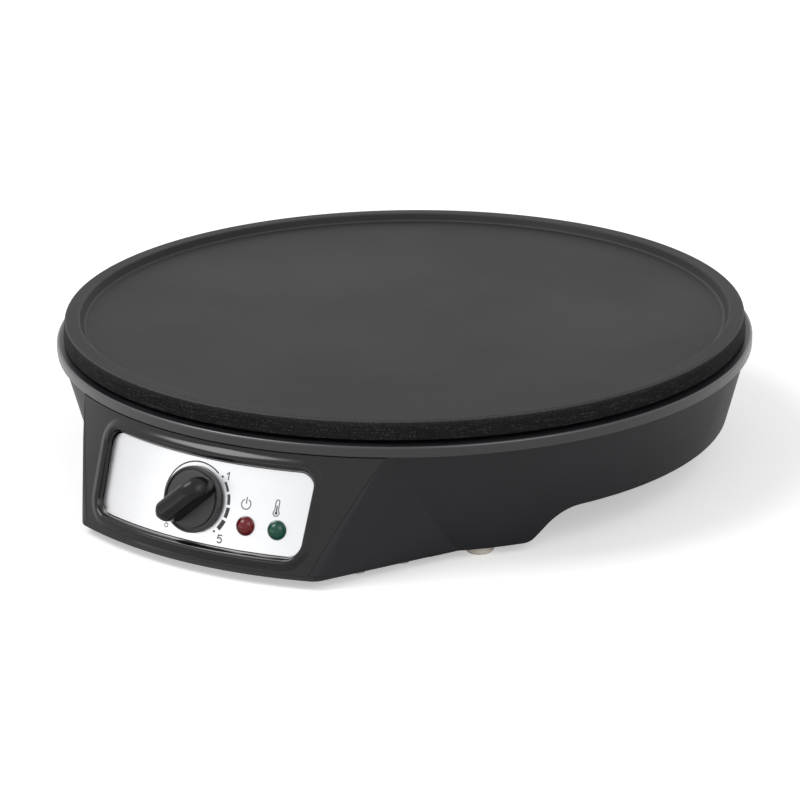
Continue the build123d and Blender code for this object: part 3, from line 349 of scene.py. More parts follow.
# finishes
@dataclass(frozen=True)
class NonStickCoating:
    """Sprayed black coating over a turned casting."""

    name: str = "nonstick_coating"
    dark: Colour = (0.0075, 0.0075, 0.0078, 1.0)
    light: Colour = (0.015, 0.015, 0.0155, 1.0)
    # Lighter colour of the lip's edge lines and the side's specks: painted highlight along the lip's edges,
    # with some wear, and specks on the side.
    wear_and_highlight: Colour = (0.07, 0.07, 0.072, 1.0)
    specular: float = 0.22
    lip_edges: tuple[float, ...] = (0.1413, 0.1437, 0.1497)
    edge_width: float = 0.0007
    ring_share: float = 0.25
    spray_share: float = 0.5
    highlight_range: Point = (0.3, 0.7)
    speck_range: Point = (0.3, 0.8)
    smooth: float = 0.5
    rough: float = 0.62
    streaks: float = 0.0

    def paint(self, g: Paint) -> None:
        """Joins the finish's nodes to the shader.

        Args:
            g: the material's graph.
        """
        grain = g.grain(scale=1600.0, strength=0.35, depth=0.00012)
        spray, normal = grain.outputs["Mask"], grain.outputs["Normal"]
        turned = g.use(g.fx.turned, {"Pitch": 0.0007, "Strength": 0.25, "Normal": normal})
        rings = g.math("MULTIPLY", turned.outputs["Mask"], self.ring_share)
        tone = g.math("ADD", g.mottle(scale=14.0, high=0.6), rings)
        mixed = g.math("ADD", tone, g.math("MULTIPLY", spray, self.spray_share), clamp=True)
        # Thin lighter lines along the lip's edges: painted highlight on their roundings, with some wear.
        edges = g.band(self.lip_edges[0], self.edge_width)
        for radius in self.lip_edges[1:]:
            edges = g.math("MAXIMUM", edges, g.band(radius, self.edge_width))
        wear_and_highlight_mask = g.math("MULTIPLY", edges, g.between(spray, *self.highlight_range))
        if self.streaks:
            rows = g.strokes(length=120.0, fineness=2600.0)
            specks = g.step(g.math("MULTIPLY", rows, spray), *self.speck_range)
            wear_and_highlight_mask = g.math("MAXIMUM", wear_and_highlight_mask, g.math("MULTIPLY", specks, self.streaks))
        g.wire(g.shader, {
            "Base Color": g.blend(wear_and_highlight_mask, g.blend(mixed, self.dark, self.light), self.wear_and_highlight),
            "Roughness": g.between(tone, self.smooth, self.rough),
            "Normal": turned.outputs["Normal"],
            "Specular IOR Level": self.specular,
        })


@dataclass(frozen=True)
class MouldedPlastic:
    """Moulded plastic with a fine tool grain and slight handling marks."""

    name: str
    tone: Colour
    lift: Colour
    smooth: float
    rough: float
    grain_scale: float = 3200.0
    grain_strength: float = 0.12
    specular: float = 0.5
    # Radius of a narrow coated band that paints a highlight along an edge; 0 for none.
    highlight_r: float = 0.0
    highlight_width: float = 0.0016
    highlight_from: float = 0.0487
    highlight_rough: float = 0.25

    def paint(self, g: Paint) -> None:
        """Joins the finish's nodes to the shader.

        Args:
            g: the material's graph.
        """
        grain = g.grain(self.grain_scale, self.grain_strength, depth=0.00008)
        patches = g.mottle(scale=30.0)
        tint = g.math("MULTIPLY", g.math("ADD", patches, grain.outputs["Mask"]), 0.5)
        g.wire(g.shader, {
            "Base Color": g.blend(tint, self.tone, self.lift),
            "Roughness": g.between(patches, self.smooth, self.rough),
            "Normal": grain.outputs["Normal"],
            "Specular IOR Level": self.specular,
        })
        # Coat on a narrow band along an edge: painted highlight.
        if self.highlight_r:
            edge = g.band(self.highlight_r, self.highlight_width, self.highlight_from)
            g.wire(g.shader, {"Coat Weight": edge, "Coat Roughness": self.highlight_rough})


@dataclass(frozen=True)
class BrushedSheet:
    """Bright sheet with fine strokes along it."""

    name: str = "panel_metal"
    tone: Colour = (0.84, 0.84, 0.85, 1.0)
    shade: Colour = (0.77, 0.78, 0.8, 1.0)
    smooth: float = 0.3
    rough: float = 0.38

    def paint(self, g: Paint) -> None:
        """Joins the finish's nodes to the shader.

        Args:
            g: the material's graph.
        """
        strokes = g.strokes(length=90.0, fineness=9000.0)
        mixed = g.math("ADD", g.math("MULTIPLY", strokes, 0.5), g.mottle(scale=20.0, high=0.5), clamp=True)
        bump = g.node("ShaderNodeBump", {"Strength": 0.03, "Distance": 0.00002, "Height": strokes})
        g.wire(g.shader, {
            "Base Color": g.blend(mixed, self.tone, self.shade),
            "Roughness": g.between(strokes, self.smooth, self.rough),
            "Normal": bump.outputs[0],
            "Metallic": 1.0,
        })


@dataclass(frozen=True)
class Metal:
    """Small metal parts: plated, drawn or cast, with a little tarnish."""

    name: str
    tone: Colour
    tarnish: Colour
    smooth: float = 0.25
    rough: float = 0.5

    def paint(self, g: Paint) -> None:
        """Joins the finish's nodes to the shader.

        Args:
            g: the material's graph.
        """
        grain = g.grain(scale=2200.0, strength=0.1, depth=0.00005)
        g.wire(g.shader, {
            "Base Color": g.blend(g.mottle(scale=120.0), self.tone, self.tarnish),
            "Roughness": g.between(grain.outputs["Mask"], self.smooth, self.rough),
            "Normal": grain.outputs["Normal"],
            "Metallic": 1.0,
        })


@dataclass(frozen=True)
class TintedLens:
    """Clear tinted lamp lens, with painted shade where it is looked at from the side, standing in for the
    dark edges that refraction gives.
    """

    name: str
    deep: Colour
    bright: Colour
    smooth: float = 0.1
    rough: float = 0.16
    cloud: float = 0.12
    side_range: Point = (0.05, 0.75)

    def paint(self, g: Paint) -> None:
        """Joins the finish's nodes to the shader.

        Args:
            g: the material's graph.
        """
        # Deep colour towards the lens's outline as seen by the camera: painted shade.
        facing = g.node("ShaderNodeLayerWeight", {"Blend": 0.35}).outputs["Facing"]
        cloud = g.mottle(scale=260.0, low=-self.cloud, high=self.cloud)
        rim = g.math("ADD", g.step(facing, *self.side_range), cloud, clamp=True)
        g.wire(g.shader, {
            "Base Color": g.blend(rim, self.bright, self.deep),
            "Roughness": g.between(cloud, self.smooth, self.rough),
            "Specular IOR Level": 0.4,
        })


class Finish(Enum):
    """Every finish on the crepe maker; one that a material slot names has the slot's name."""

    COATING = NonStickCoating()
    # Plate's side: little reflection as painted shade, with specks.
    COATING_SIDE = NonStickCoating("nonstick_coating_side", specular=0.02, streaks=0.5)
    # Coat band along the top outer edge of the housing's rim: painted highlight.
    SATIN = MouldedPlastic(
        "black_satin_plastic", colour(0.0085, 0.008, 0.0105), colour(0.0135, 0.0125, 0.016),
        smooth=0.34, rough=0.42, specular=0.36, highlight_r=0.1538,
    )
    GLOSS = MouldedPlastic(
        "black_gloss_plastic", colour(0.004, 0.004, 0.0048), colour(0.007, 0.0068, 0.008),
        smooth=0.12, rough=0.17, grain_scale=900.0, grain_strength=0.02, specular=0.42,
    )
    PANEL = BrushedSheet()
    RED_LENS = TintedLens("red_lens", colour(0.03, 0.001, 0.002), colour(0.15, 0.005, 0.008))
    GREEN_LENS = TintedLens("green_lens", colour(0.001, 0.02, 0.012), colour(0.003, 0.075, 0.045))
    KNOB_GRIP = MouldedPlastic(
        "knob_grip", colour(0.004, 0.004, 0.0044), colour(0.006, 0.006, 0.0064),
        smooth=0.2, rough=0.26, grain_scale=900.0, grain_strength=0.02, specular=0.3,
    )
    KNOB_DISC = MouldedPlastic(
        "knob_disc", colour(0.02, 0.02, 0.021), colour(0.034, 0.034, 0.035),
        smooth=0.42, rough=0.5, grain_scale=5200.0, grain_strength=0.35,
    )
    NEON_GLASS = MouldedPlastic(
        "neon_glass", colour(0.8, 0.62, 0.5), colour(0.9, 0.75, 0.65),
        smooth=0.05, rough=0.1, grain_scale=900.0, grain_strength=0.02,
    )
    PALE_RUBBER = MouldedPlastic(
        "pale_rubber", colour(0.88, 0.79, 0.7), colour(0.93, 0.85, 0.76),
        smooth=0.6, rough=0.75, grain_scale=1800.0, grain_strength=0.25, specular=0.3,
    )
    BLACK_RUBBER = MouldedPlastic(
        "black_rubber", colour(0.02, 0.02, 0.02), colour(0.03, 0.03, 0.03),
        smooth=0.6, rough=0.75, grain_scale=1800.0, grain_strength=0.25, specular=0.3,
    )
    SHEATH = Metal(
        "element_sheath", colour(0.2, 0.17, 0.14), colour(0.32, 0.26, 0.2), smooth=0.4, rough=0.6
    )
    PLATED = Metal("plated_steel", colour(0.6, 0.6, 0.61), colour(0.5, 0.5, 0.5))
    ALUMINISED = Metal(
        "aluminised_steel", colour(0.66, 0.66, 0.66), colour(0.52, 0.52, 0.52), smooth=0.4, rough=0.6
    )
    BRASS = Metal("brass", colour(0.72, 0.55, 0.25), colour(0.55, 0.4, 0.18))
    COPPER = Metal("copper", colour(0.72, 0.4, 0.25), colour(0.5, 0.26, 0.16))
    CERAMIC = MouldedPlastic(
        "ceramic", colour(0.8, 0.78, 0.72), colour(0.88, 0.86, 0.81),
        smooth=0.45, rough=0.6, grain_scale=1500.0, grain_strength=0.2, specular=0.4,
    )
    SWITCH_CASE = MouldedPlastic(
        "switch_case", colour(0.09, 0.06, 0.045), colour(0.13, 0.09, 0.07), smooth=0.45, rough=0.6
    )
    BLOCK = MouldedPlastic(
        "block_plastic", colour(0.68, 0.68, 0.65), colour(0.76, 0.76, 0.73), smooth=0.4, rough=0.5
    )
    INK = MouldedPlastic(
        "panel_ink", colour(0.03, 0.03, 0.032), colour(0.05, 0.05, 0.052),
        smooth=0.4, rough=0.5, grain_scale=2500.0, grain_strength=0.1,
    )
    PALE_INK = MouldedPlastic(
        "panel_pale_ink", colour(0.09, 0.09, 0.095), colour(0.13, 0.13, 0.135),
        smooth=0.4, rough=0.5, grain_scale=2500.0, grain_strength=0.1,
    )


class Wardrobe:
    """Builds each finish's material once and gives it to nodes and pieces."""

    def __init__(self) -> None:
        """Builds the shared effects."""
        self.effects = Effects()
        self.materials: dict[Finish, Material] = {}

    def get(self, finish: Finish) -> Material:
        """Material of a finish, built on first use.

        Args:
            finish: the finish.

        Returns:
            Its material.
        """
        if finish not in self.materials:
            paint = Paint(finish.value.name, self.effects)
            finish.value.paint(paint)
            self.materials[finish] = paint.material
        return self.materials[finish]

    def dress_nodes(self) -> None:
        """Gives every CAD node the finish of its material slot in the record."""
        by_slot = {finish.value.name: finish for finish in Finish}
        for part in frame["record"]["subparts"]:
            mesh = frame["nodes"][part["node"]].data
            mesh.materials.clear()
            mesh.materials.append(self.get(by_slot[part["material_slot"]]))
            if part["node"] == "griddle_plate":
                self.dress_side(mesh)
            LOG.info("dressed %s as %s", part["node"], part["material_slot"])

    def dress_side(self, mesh: Mesh, upright: float = 0.4, reach: float = 0.1494) -> None:
        """Gives the plate's outer side its own copy of the coating, with specks, and with little reflection
        as painted shade for the dark surroundings that the side reflects.

        Args:
            mesh: the plate's mesh.
            upright: largest lean of a face of the side, as its normal's Z.
            reach: least distance of such a face from the plate's axis, in metres.
        """
        mesh.materials.append(self.get(Finish.COATING_SIDE))
        for face in mesh.polygons:
            off = face.center - AXIS
            if abs(face.normal.z) < upright and math.hypot(off.x, off.y) > reach:
                face.material_index = 1


# pieces
def place_object(name: str, data: Any) -> Object:
    """Makes an object at the origin and adds it to the scene.

    Args:
        name: the object's name.
        data: its mesh, camera or lamp.

    Returns:
        The new object.
    """
    made = bpy.data.objects.new(name, data)
    bpy.context.scene.collection.objects.link(made)
    return made


def mesh_piece(
    name: str, verts: Iterable[Any], faces: Sequence[Face], finish: Material
) -> Object:
    """Makes a mesh object at the origin.

    Args:
        name: the piece's name.
        verts: its corners in metres.
        faces: its faces.
        finish: its material.

    Returns:
        The new object.
    """
    mesh = bpy.data.meshes.new(name)
    mesh.from_pydata([tuple(v) for v in verts], [], faces)
    mesh.validate()
    mesh.materials.append(finish)
    return place_object(name, mesh)


def smooth_shell(piece: Object, sharp: float, merge: float = 2e-6) -> None:
    """Turns a piece's faces outwards, shades them smooth and keeps its sharp edges.

    Args:
        piece: the piece.
        sharp: edges over this angle stay sharp, in degrees.
        merge: corners nearer than this become one, in metres.
    """
    shell = bmesh.new()
    shell.from_mesh(piece.data)
    bmesh.ops.remove_doubles(shell, verts=shell.verts, dist=merge)
    bmesh.ops.recalc_face_normals(shell, faces=shell.faces)
    shell.to_mesh(piece.data)
    shell.free()
    piece.data.polygons.foreach_set("use_smooth", [True] * len(piece.data.polygons))
    piece.data.set_sharp_from_angle(angle=math.radians(sharp))


def settle(piece: Object, body: Body) -> None:
    """Lets a finished piece ride on its body.

    Args:
        piece: the piece.
        body: the body it moves with.
    """
    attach(piece, body.value)
    LOG.info("made %s with %d faces", piece.name, len(piece.data.polygons))


def bow(centre: Point, radii: Point, ends: Point, steps: int) -> list[Point]:
    """Points on an arc of a circle or an ellipse.

    Args:
        centre: its centre.
        radii: its half width and half height.
        ends: angles of its first and last point, in degrees.
        steps: number of steps between them.

    Returns:
        The points.
    """
    angles = (math.radians(ends[0] + (ends[1] - ends[0]) * i / steps) for i in range(steps + 1))
    return [(centre[0] + radii[0] * math.cos(a), centre[1] + radii[1] * math.sin(a)) for a in angles]


def tube_faces(rings: int, count: int, start: int = 0, closed: bool = False) -> list[Face]:
    """Faces that join rings of corners, with a cap at each end.

    Args:
        rings: number of rings.
        count: number of corners in each ring.
        start: number of the first corner.
        closed: joins the last ring to the first instead of capping both.

    Returns:
        The faces.
    """
    faces: list[Face] = []
    for i in range(rings if closed else rings - 1):
        a, b = start + i * count, start + (i + 1) % rings * count
        faces += [(a + k, a + (k + 1) % count, b + (k + 1) % count, b + k) for k in range(count)]
    if not closed:
        end = start + (rings - 1) * count
        faces += [tuple(range(start + count - 1, start - 1, -1)), tuple(range(end, end + count))]
    return faces


class PanelFace:
    """The panel's curved face, in millimetres: u to the right and v up the slope from the knob."""

    def __init__(self) -> None:
        """Takes the face's place and lean from the knob's joint."""
        joint = frame["record"]["behaviour"]["joints"][0]
        place, inward = Vector(joint["pos_m"]), Vector(joint["axis"]).normalized()
        if inward.y < 0:
            inward = -inward
        self.lean = math.asin(-inward.z)
        self.middle_r = (AXIS.y - place.y) / MM
        self.middle_z = place.z / MM

    def lay(self, u: float, v: float, w: float) -> Vector:
        """Place of a flat point on the panel.

        Args:
            u: millimetres to the right of the knob's axis.
            v: millimetres up the slope.
            w: millimetres out of the face.

        Returns:
            The point in metres.
        """
        r = self.middle_r - v * math.sin(self.lean) + w * math.cos(self.lean)
        z = self.middle_z + v * math.cos(self.lean) + w * math.sin(self.lean)
        return Vector((r * math.sin(u / r) * MM, AXIS.y - r * math.cos(u / r) * MM, z * MM))

    def knob_frame(self, turn: float) -> Matrix:
        """Frame of the knob in metres: x along its pointer, z out of the panel.

        Args:
            turn: degrees from the right, counter-clockwise.

        Returns:
            The frame.
        """
        out = Vector((0, -math.cos(self.lean), math.sin(self.lean)))
        along = Matrix.Rotation(math.radians(turn), 3, out) @ Vector((1, 0, 0))
        rotation = Matrix((along, out.cross(along), out)).transposed().to_4x4()
        return Matrix.Translation(self.lay(0, 0, 0)) @ rotation


class MarkTrees:
    """Geometry Nodes trees that lay printed marks on the panel."""

    def __init__(self, face: PanelFace) -> None:
        """Builds the trees.

        Args:
            face: the panel's face.
        """
        self.face = face
        self.wrap = self._wrap()
        self.arcs = self._arcs()
        self.dots = self._dots()

    def _wrap(self) -> NodeTree:
        """Bends flat marks (u, v, w in millimetres) round the panel's cone.

        Returns:
            The group's tree.
        """
        g, into, out = new_group(
            "lay_on_panel", "GeometryNodeTree",
            {
                "Geometry": "Geometry",
                "Radius": ("Float", self.face.middle_r),
                "Height": ("Float", self.face.middle_z),
                "Lean": ("Float", self.face.lean),
                "Axis Y": ("Float", AXIS.y),
            },
            {"Geometry": "Geometry"},
        )
        geometry, radius, level, lean, axis_y = into.outputs[:5]
        flat = g.node("GeometryNodeInputPosition").outputs[0]
        u, v, w = g.node("ShaderNodeSeparateXYZ", {0: flat}).outputs
        cos, sin = g.math("COSINE", lean), g.math("SINE", lean)
        r = g.math("SUBTRACT", radius, g.math("MULTIPLY", v, sin))
        r = g.math("ADD", r, g.math("MULTIPLY", w, cos))
        z = g.math("ADD", level, g.math("MULTIPLY", v, cos))
        z = g.math("ADD", z, g.math("MULTIPLY", w, sin))
        angle = g.math("DIVIDE", u, r)
        x = g.math("MULTIPLY", r, g.math("SINE", angle))
        y = g.math("MULTIPLY", r, g.math("COSINE", angle))
        x, y, z = (g.math("MULTIPLY", value, MM) for value in (x, y, z))
        place = g.node("ShaderNodeCombineXYZ", {0: x, 1: g.math("SUBTRACT", axis_y, y), 2: z}).outputs[0]
        moved = g.node("GeometryNodeSetPosition", {"Geometry": geometry, "Position": place})
        g.wire(out, {0: moved.outputs[0]})
        return g.tree

    def _finish(self, g: Graph, into: Any, out: Any, geometry: Any) -> None:
        """Ends a tree: realize, lay on the panel, set the material.

        Args:
            g: the tree's graph.
            into: its input node.
            out: its output node.
            geometry: the flat marks.
        """
        solid = g.node("GeometryNodeRealizeInstances", {"Geometry": geometry}).outputs[0]
        laid = g.use(self.wrap, {"Geometry": solid}).outputs[0]
        real = g.node("GeometryNodeRealizeInstances", {"Geometry": laid}).outputs[0]
        inked = g.node("GeometryNodeSetMaterial", {"Geometry": real, "Material": into.outputs["Material"]})
        g.wire(out, {0: inked.outputs[0]})

    def _arcs(self) -> NodeTree:
        """Row of curved dashes round a centre, each a little wider than the one before.

        Returns:
            The group's tree.
        """
        g, into, out = new_group(
            "curved_dashes", "GeometryNodeTree",
            {
                "Geometry": "Geometry",
                "Count": ("Int", 1),
                "Segments": ("Int", 8),
                "Centre": ("Vector", (0.0, 0.0, 0.0)),
                "Radius": ("Float", 15.0),
                "First": ("Float", 0.0),
                "Step": ("Float", 0.0),
                "Sweep": ("Float", 1.0),
                "Thin": ("Float", 0.4),
                "Widening": ("Float", 0.0),
                "Proud": ("Float", 0.04),
                "Material": "Material",
            },
            {"Geometry": "Geometry"},
        )
        count, segments, centre, radius, first, step, sweep, thin, widening, proud = into.outputs[1:11]
        row = g.node("GeometryNodeMeshLine", {"Count": count}, mode="OFFSET").outputs[0]
        index = g.node("GeometryNodeInputIndex").outputs[0]
        width = g.math("ADD", thin, g.math("MULTIPLY", index, widening))
        turn = g.math("ADD", first, g.math("MULTIPLY", index, step))
        spot = g.node("ShaderNodeCombineXYZ", {0: turn, 1: g.math("MULTIPLY", width, 0.5)}).outputs[0]
        points = g.node("GeometryNodeSetPosition", {"Geometry": row, "Position": spot}).outputs[0]
        bar = g.node("GeometryNodeMeshCube", {"Size": (1.0, 1.0, 1.0), "Vertices X": segments}).outputs[0]
        size = g.node("ShaderNodeCombineXYZ", {0: sweep, 1: width, 2: proud}).outputs[0]
        dashes = g.node("GeometryNodeInstanceOnPoints", {"Points": points, "Instance": bar, "Scale": size})
        real = g.node("GeometryNodeRealizeInstances", {"Geometry": dashes.outputs[0]}).outputs[0]
        place = g.node("GeometryNodeInputPosition").outputs[0]
        angle, off, height = g.node("ShaderNodeSeparateXYZ", {0: place}).outputs
        reach = g.math("ADD", radius, off)
        u = g.math("MULTIPLY", reach, g.math("COSINE", angle))
        v = g.math("MULTIPLY", reach, g.math("SINE", angle))
        polar = g.node("ShaderNodeCombineXYZ", {0: u, 1: v, 2: height}).outputs[0]
        spread = g.vector("ADD", polar, centre).outputs[0]
        bent = g.node("GeometryNodeSetPosition", {"Geometry": real, "Position": spread}).outputs[0]
        self._finish(g, into, out, bent)
        return g.tree

    def _dots(self) -> NodeTree:
        """Round dot on each point of the given mesh.

        Returns:
            The group's tree.
        """
        g, into, out = new_group(
            "round_dots", "GeometryNodeTree",
            {
                "Geometry": "Geometry",
                "Radius": ("Float", 0.45),
                "Proud": ("Float", 0.04),
                "Material": "Material",
            },
            {"Geometry": "Geometry"},
        )
        points, radius, proud = into.outputs[:3]
        round_bar = {"Vertices": 20, "Radius": radius, "Depth": proud}
        dot = g.node("GeometryNodeMeshCylinder", round_bar).outputs["Mesh"]
        dots = g.node("GeometryNodeInstanceOnPoints", {"Points": points, "Instance": dot}).outputs[0]
        self._finish(g, into, out, dots)
        return g.tree

    @staticmethod
    def make(
        tree: NodeTree, name: str, points: Iterable[Sequence[float]], inputs: dict[str, Any]
    ) -> Object:
        """Runs a tree and returns its plain mesh.

        Args:
            tree: the tree to run.
            name: name of the piece.
            points: points of the mesh that the tree starts from, in millimetres.
            inputs: values of the tree's named inputs.

        Returns:
            The finished piece.
        """
        mesh = bpy.data.meshes.new(name)
        mesh.from_pydata([tuple(point) for point in points], [], [])
        source = place_object(name, mesh)
        modifier = source.modifiers.new("marks", "NODES")
        modifier.node_group = tree
        sockets = {item.name: item for item in tree.interface.items_tree if item.in_out == "INPUT"}
        for key, value in inputs.items():
            modifier[sockets[key].identifier] = value
        graph = bpy.context.evaluated_depsgraph_get()
        plain = bpy.data.meshes.new_from_object(source.evaluated_get(graph))
        bpy.data.objects.remove(source)
        plain.name = name
        return place_object(name, plain)


@dataclass
class PanelPrint:
    """Marks printed on the control panel, in millimetres: dial scale, numbers and the lamps' symbols."""

    trees: MarkTrees
    wardrobe: Wardrobe
    proud: float = 0.05
    arc_r: float = 15.2
    arc_line: float = 0.6
    arc_ends: Point = (53.0, 197.0)
    arc_fineness: float = 22.0
    least_steps: int = 12
    dash_count: int = 4
    dash_r: float = 15.3
    dash_first: float = 28.5
    dash_step: float = -19.0
    dash_sweep: float = 15.0
    dash_thin: float = 1.0
    dash_widening: float = 0.3
    dot_r: float = 0.5
    dot_reach: float = 15.8
    dot_angles: Point = (45.0, -43.0)
    off_reach: float = 17.2
    off_angle: float = 228.0
    off_r: float = 0.82
    off_line: float = 0.4
    digit_line: float = 0.55
    one: tuple[Point, ...] = ((12.9, 12.4), (13.9, 13.2), (13.9, 10.2))
    five_top: tuple[Point, ...] = (
        (15.6, -11.9), (13.9, -11.9), (13.75, -13.15), (14.3, -12.95), (14.9, -12.95), (15.45, -13.3),
    )
    five_bowl: tuple[Point, ...] = (
        (15.45, -13.3), (15.65, -13.9), (15.45, -14.5), (14.9, -14.85), (14.3, -14.85), (13.65, -14.5),
    )
    power_spot: Point = (23.6, 2.0)
    power_r: float = 2.0
    power_ends: Point = (115.0, 425.0)
    power_bar: Point = (0.2, 2.9)
    power_line: float = 0.46
    heat_spot: Point = (36.8, 2.2)
    heat_drop: float = 2.1
    heat_rise: float = 2.4
    bulb_r: float = 1.25
    stem_r: float = 0.75
    heat_line: float = 0.42
    column_rise: float = 0.9
    column_line: float = 0.5
    fill_r: float = 0.6
    bulb_steps: int = 16
    stem_steps: int = 8

    def polar(self, reach: float, angle: float) -> tuple[float, float, float]:
        """Flat point at a distance and an angle from the knob's axis."""
        return (reach * math.cos(math.radians(angle)), reach * math.sin(math.radians(angle)), 0.0)

    def arc(
        self, name: str, centre: Sequence[float], radius: float, ends: Point, line: float, finish: Finish
    ) -> Object:
        """Prints one curved line.

        Args:
            name: name of the piece.
            centre: its centre in millimetres on the panel.
            radius: radius of the line's middle.
            ends: angles of its ends in degrees.
            line: its width.
            finish: the ink.

        Returns:
            The piece.
        """
        sweep = math.radians(ends[1] - ends[0])
        inputs = {
            "Segments": max(self.least_steps, int(sweep * self.arc_fineness)),
            "Centre": centre, "Radius": radius - line / 2,
            "First": math.radians(sum(ends) / 2), "Sweep": sweep, "Thin": line,
            "Proud": self.proud, "Material": self.wardrobe.get(finish),
        }
        return self.trees.make(self.trees.arcs, name, [(0, 0, 0)], inputs)

    def spots(self, name: str, points: Iterable[Sequence[float]], radius: float) -> Object:
        """Prints a round dot on each of the given points."""
        inputs = {"Radius": radius, "Proud": self.proud, "Material": self.wardrobe.get(Finish.INK)}
        return self.trees.make(self.trees.dots, name, points, inputs)

    def edges(self, path: list[Vector], width: float, closed: bool) -> list[Vector]:
        """Four corners of a stroke's section at each point of its path.

        Args:
            path: the points, in millimetres on the panel.
            width: the stroke's width.
            closed: says that the path runs back to its first point.

        Returns:
            The corners in metres.
        """
        corners = []
        low, high = -self.proud / 2, self.proud / 2
        for i, here in enumerate(path):
            run_in = (here - path[i - 1]).normalized()
            run_out = (path[(i + 1) % len(path)] - here).normalized()
            if not closed and i == 0:
                run_in = run_out
            if not closed and i == len(path) - 1:
                run_out = run_in
            along = (run_in + run_out).normalized()
            side = Vector((-along.y, along.x)) * width / 2 / max(0.5, along.dot(run_in))
            left, right = here + side, here - side
            for spot, w in ((left, low), (right, low), (right, high), (left, high)):
                corners.append(self.trees.face.lay(spot.x, spot.y, w))
        return corners

    def strokes(
        self, name: str, paths: Iterable[Sequence[Point]], width: float, finish: Finish
    ) -> Object:
        """Prints strokes with straight pieces.

        Args:
            name: name of the piece.
            paths: the points of each stroke, in millimetres on the panel.
            width: the strokes' width.
            finish: the ink.

        Returns:
            The piece.
        """
        verts: list[Vector] = []
        faces: list[Face] = []
        for points in paths:
            path = [Vector(point) for point in points]
            closed = points[0] == points[-1]
            if closed:
                path.pop()
            faces += tube_faces(len(path), 4, len(verts), closed)
            verts += self.edges(path, width, closed)
        return mesh_piece(name, verts, faces, self.wardrobe.get(finish))

    def scale(self) -> list[Object]:
        """Arc, dots, widening dashes, the ring at off and plain digits at the scale's two ends.

        Returns:
            The pieces.
        """
        inputs = {
            "Count": self.dash_count, "Radius": self.dash_r, "First": math.radians(self.dash_first),
            "Step": math.radians(self.dash_step), "Sweep": math.radians(self.dash_sweep),
            "Thin": self.dash_thin, "Widening": self.dash_widening, "Proud": self.proud,
            "Material": self.wardrobe.get(Finish.INK),
        }
        off = self.polar(self.off_reach, self.off_angle)
        dots = [self.polar(self.dot_reach, angle) for angle in self.dot_angles]
        digits = (self.one, self.five_top, self.five_bowl)
        return [
            self.arc("dial_arc", (0, 0, 0), self.arc_r, self.arc_ends, self.arc_line, Finish.INK),
            self.trees.make(self.trees.arcs, "dial_dashes", [(0, 0, 0)], inputs),
            self.spots("dial_dots", dots, self.dot_r),
            self.arc("dial_off_ring", off, self.off_r, (0, 360), self.off_line, Finish.PALE_INK),
            self.strokes("dial_numbers", digits, self.digit_line, Finish.PALE_INK),
        ]

    def symbols(self) -> list[Object]:
        """Power sign over the red lamp and thermometer over the green one.

        Returns:
            The pieces.
        """
        u, v = self.power_spot
        bar = [(u, v + rise) for rise in self.power_bar]
        line, pale = self.power_line, Finish.PALE_INK
        signs = [
            self.arc("power_ring", (u, v, 0), self.power_r, self.power_ends, line, pale),
            self.strokes("power_bar", [bar], line, pale),
        ]
        u, v = self.heat_spot
        bulb_v = v - self.heat_drop
        neck = math.degrees(math.asin(self.stem_r / self.bulb_r))
        bulb, stem = (self.bulb_r, self.bulb_r), (self.stem_r, self.stem_r)
        outline = bow((u, bulb_v), bulb, (90 + neck, 450 - neck), self.bulb_steps)
        outline += bow((u, v + self.heat_rise), stem, (0, 180), self.stem_steps)
        column = [(u, bulb_v), (u, v + self.column_rise)]
        return signs + [
            self.spots("heat_bulb", [(u, bulb_v, 0)], self.fill_r),
            self.strokes("heat_outline", [outline + outline[:1]], self.heat_line, pale),
            self.strokes("heat_column", [column], self.column_line, Finish.INK),
        ]

    def build(self) -> None:
        """Prints everything on the panel."""
        for piece in self.scale() + self.symbols():
            settle(piece, Body.BASE)


@dataclass
class HousingSkins:
    """Base housing and front moulding as they are seen, with their outer faces trued, in millimetres."""

    wardrobe: Wardrobe
    rim_r: float = 154.0
    rim_z: float = 50.0
    front_lean: float = 21.05
    half_w: float = 58.2
    foot_z: float = 4.0
    flare: float = 31.0
    bowl_r: float = 152.0
    bowl_draft: float = 13.8
    box_back: float = -100.0
    rim_slack: float = 0.05
    slack: float = 0.02

    def front_r(self, z: float) -> float:
        """Radius of the front face at a height."""
        return self.rim_r + (self.rim_z - z) * math.tan(math.radians(self.front_lean))

    def flank_x(self, y: float) -> float:
        """Half width of the control box at a distance from the plate's axis."""
        foot_y = -math.sqrt(self.front_r(self.foot_z) ** 2 - self.half_w**2)
        return self.half_w + (y - foot_y) * math.tan(math.radians(self.flare))

    def trued(self, spot: Vector) -> Vector:
        """Moves a point that stands out of the control box back into its nearest face.

        Args:
            spot: a corner of the mesh, in metres.

        Returns:
            The corner's place, in metres.
        """
        x, y, z = spot.x / MM, (spot.y - AXIS.y) / MM, spot.z / MM
        r = math.hypot(x, y)
        bowl = self.bowl_r - (self.rim_z - z) * math.tan(math.radians(self.bowl_draft))
        if y > self.box_back or z > self.rim_z - self.rim_slack or r < bowl + self.slack:
            return spot
        front = self.front_r(z)
        if r > front + self.slack:
            x, y = x * front / r, y * front / r
        half = self.flank_x(y)
        if abs(x) > half + self.slack:
            x = math.copysign(half, x)
        return Vector((x * MM, y * MM + AXIS.y, spot.z))

    def skin(self, node: str, name: str, finish: Finish) -> None:
        """Copies a node, trues its faces and shows the copy in its place.

        Args:
            node: the node that is shown this way.
            name: name of the piece.
            finish: its finish.
        """
        mesh = frame["nodes"][node].data.copy()
        mesh.name = name
        for vertex in mesh.vertices:
            vertex.co = self.trued(vertex.co)
        mesh.materials.clear()
        mesh.materials.append(self.wardrobe.get(finish))
        piece = place_object(name, mesh)
        settle(piece, Body.BASE)
        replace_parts(piece, node)

    def build(self) -> None:
        """Shows both skins."""
        self.skin("base_housing", "housing_skin", Finish.SATIN)
        self.skin("control_fascia", "fascia_skin", Finish.GLOSS)


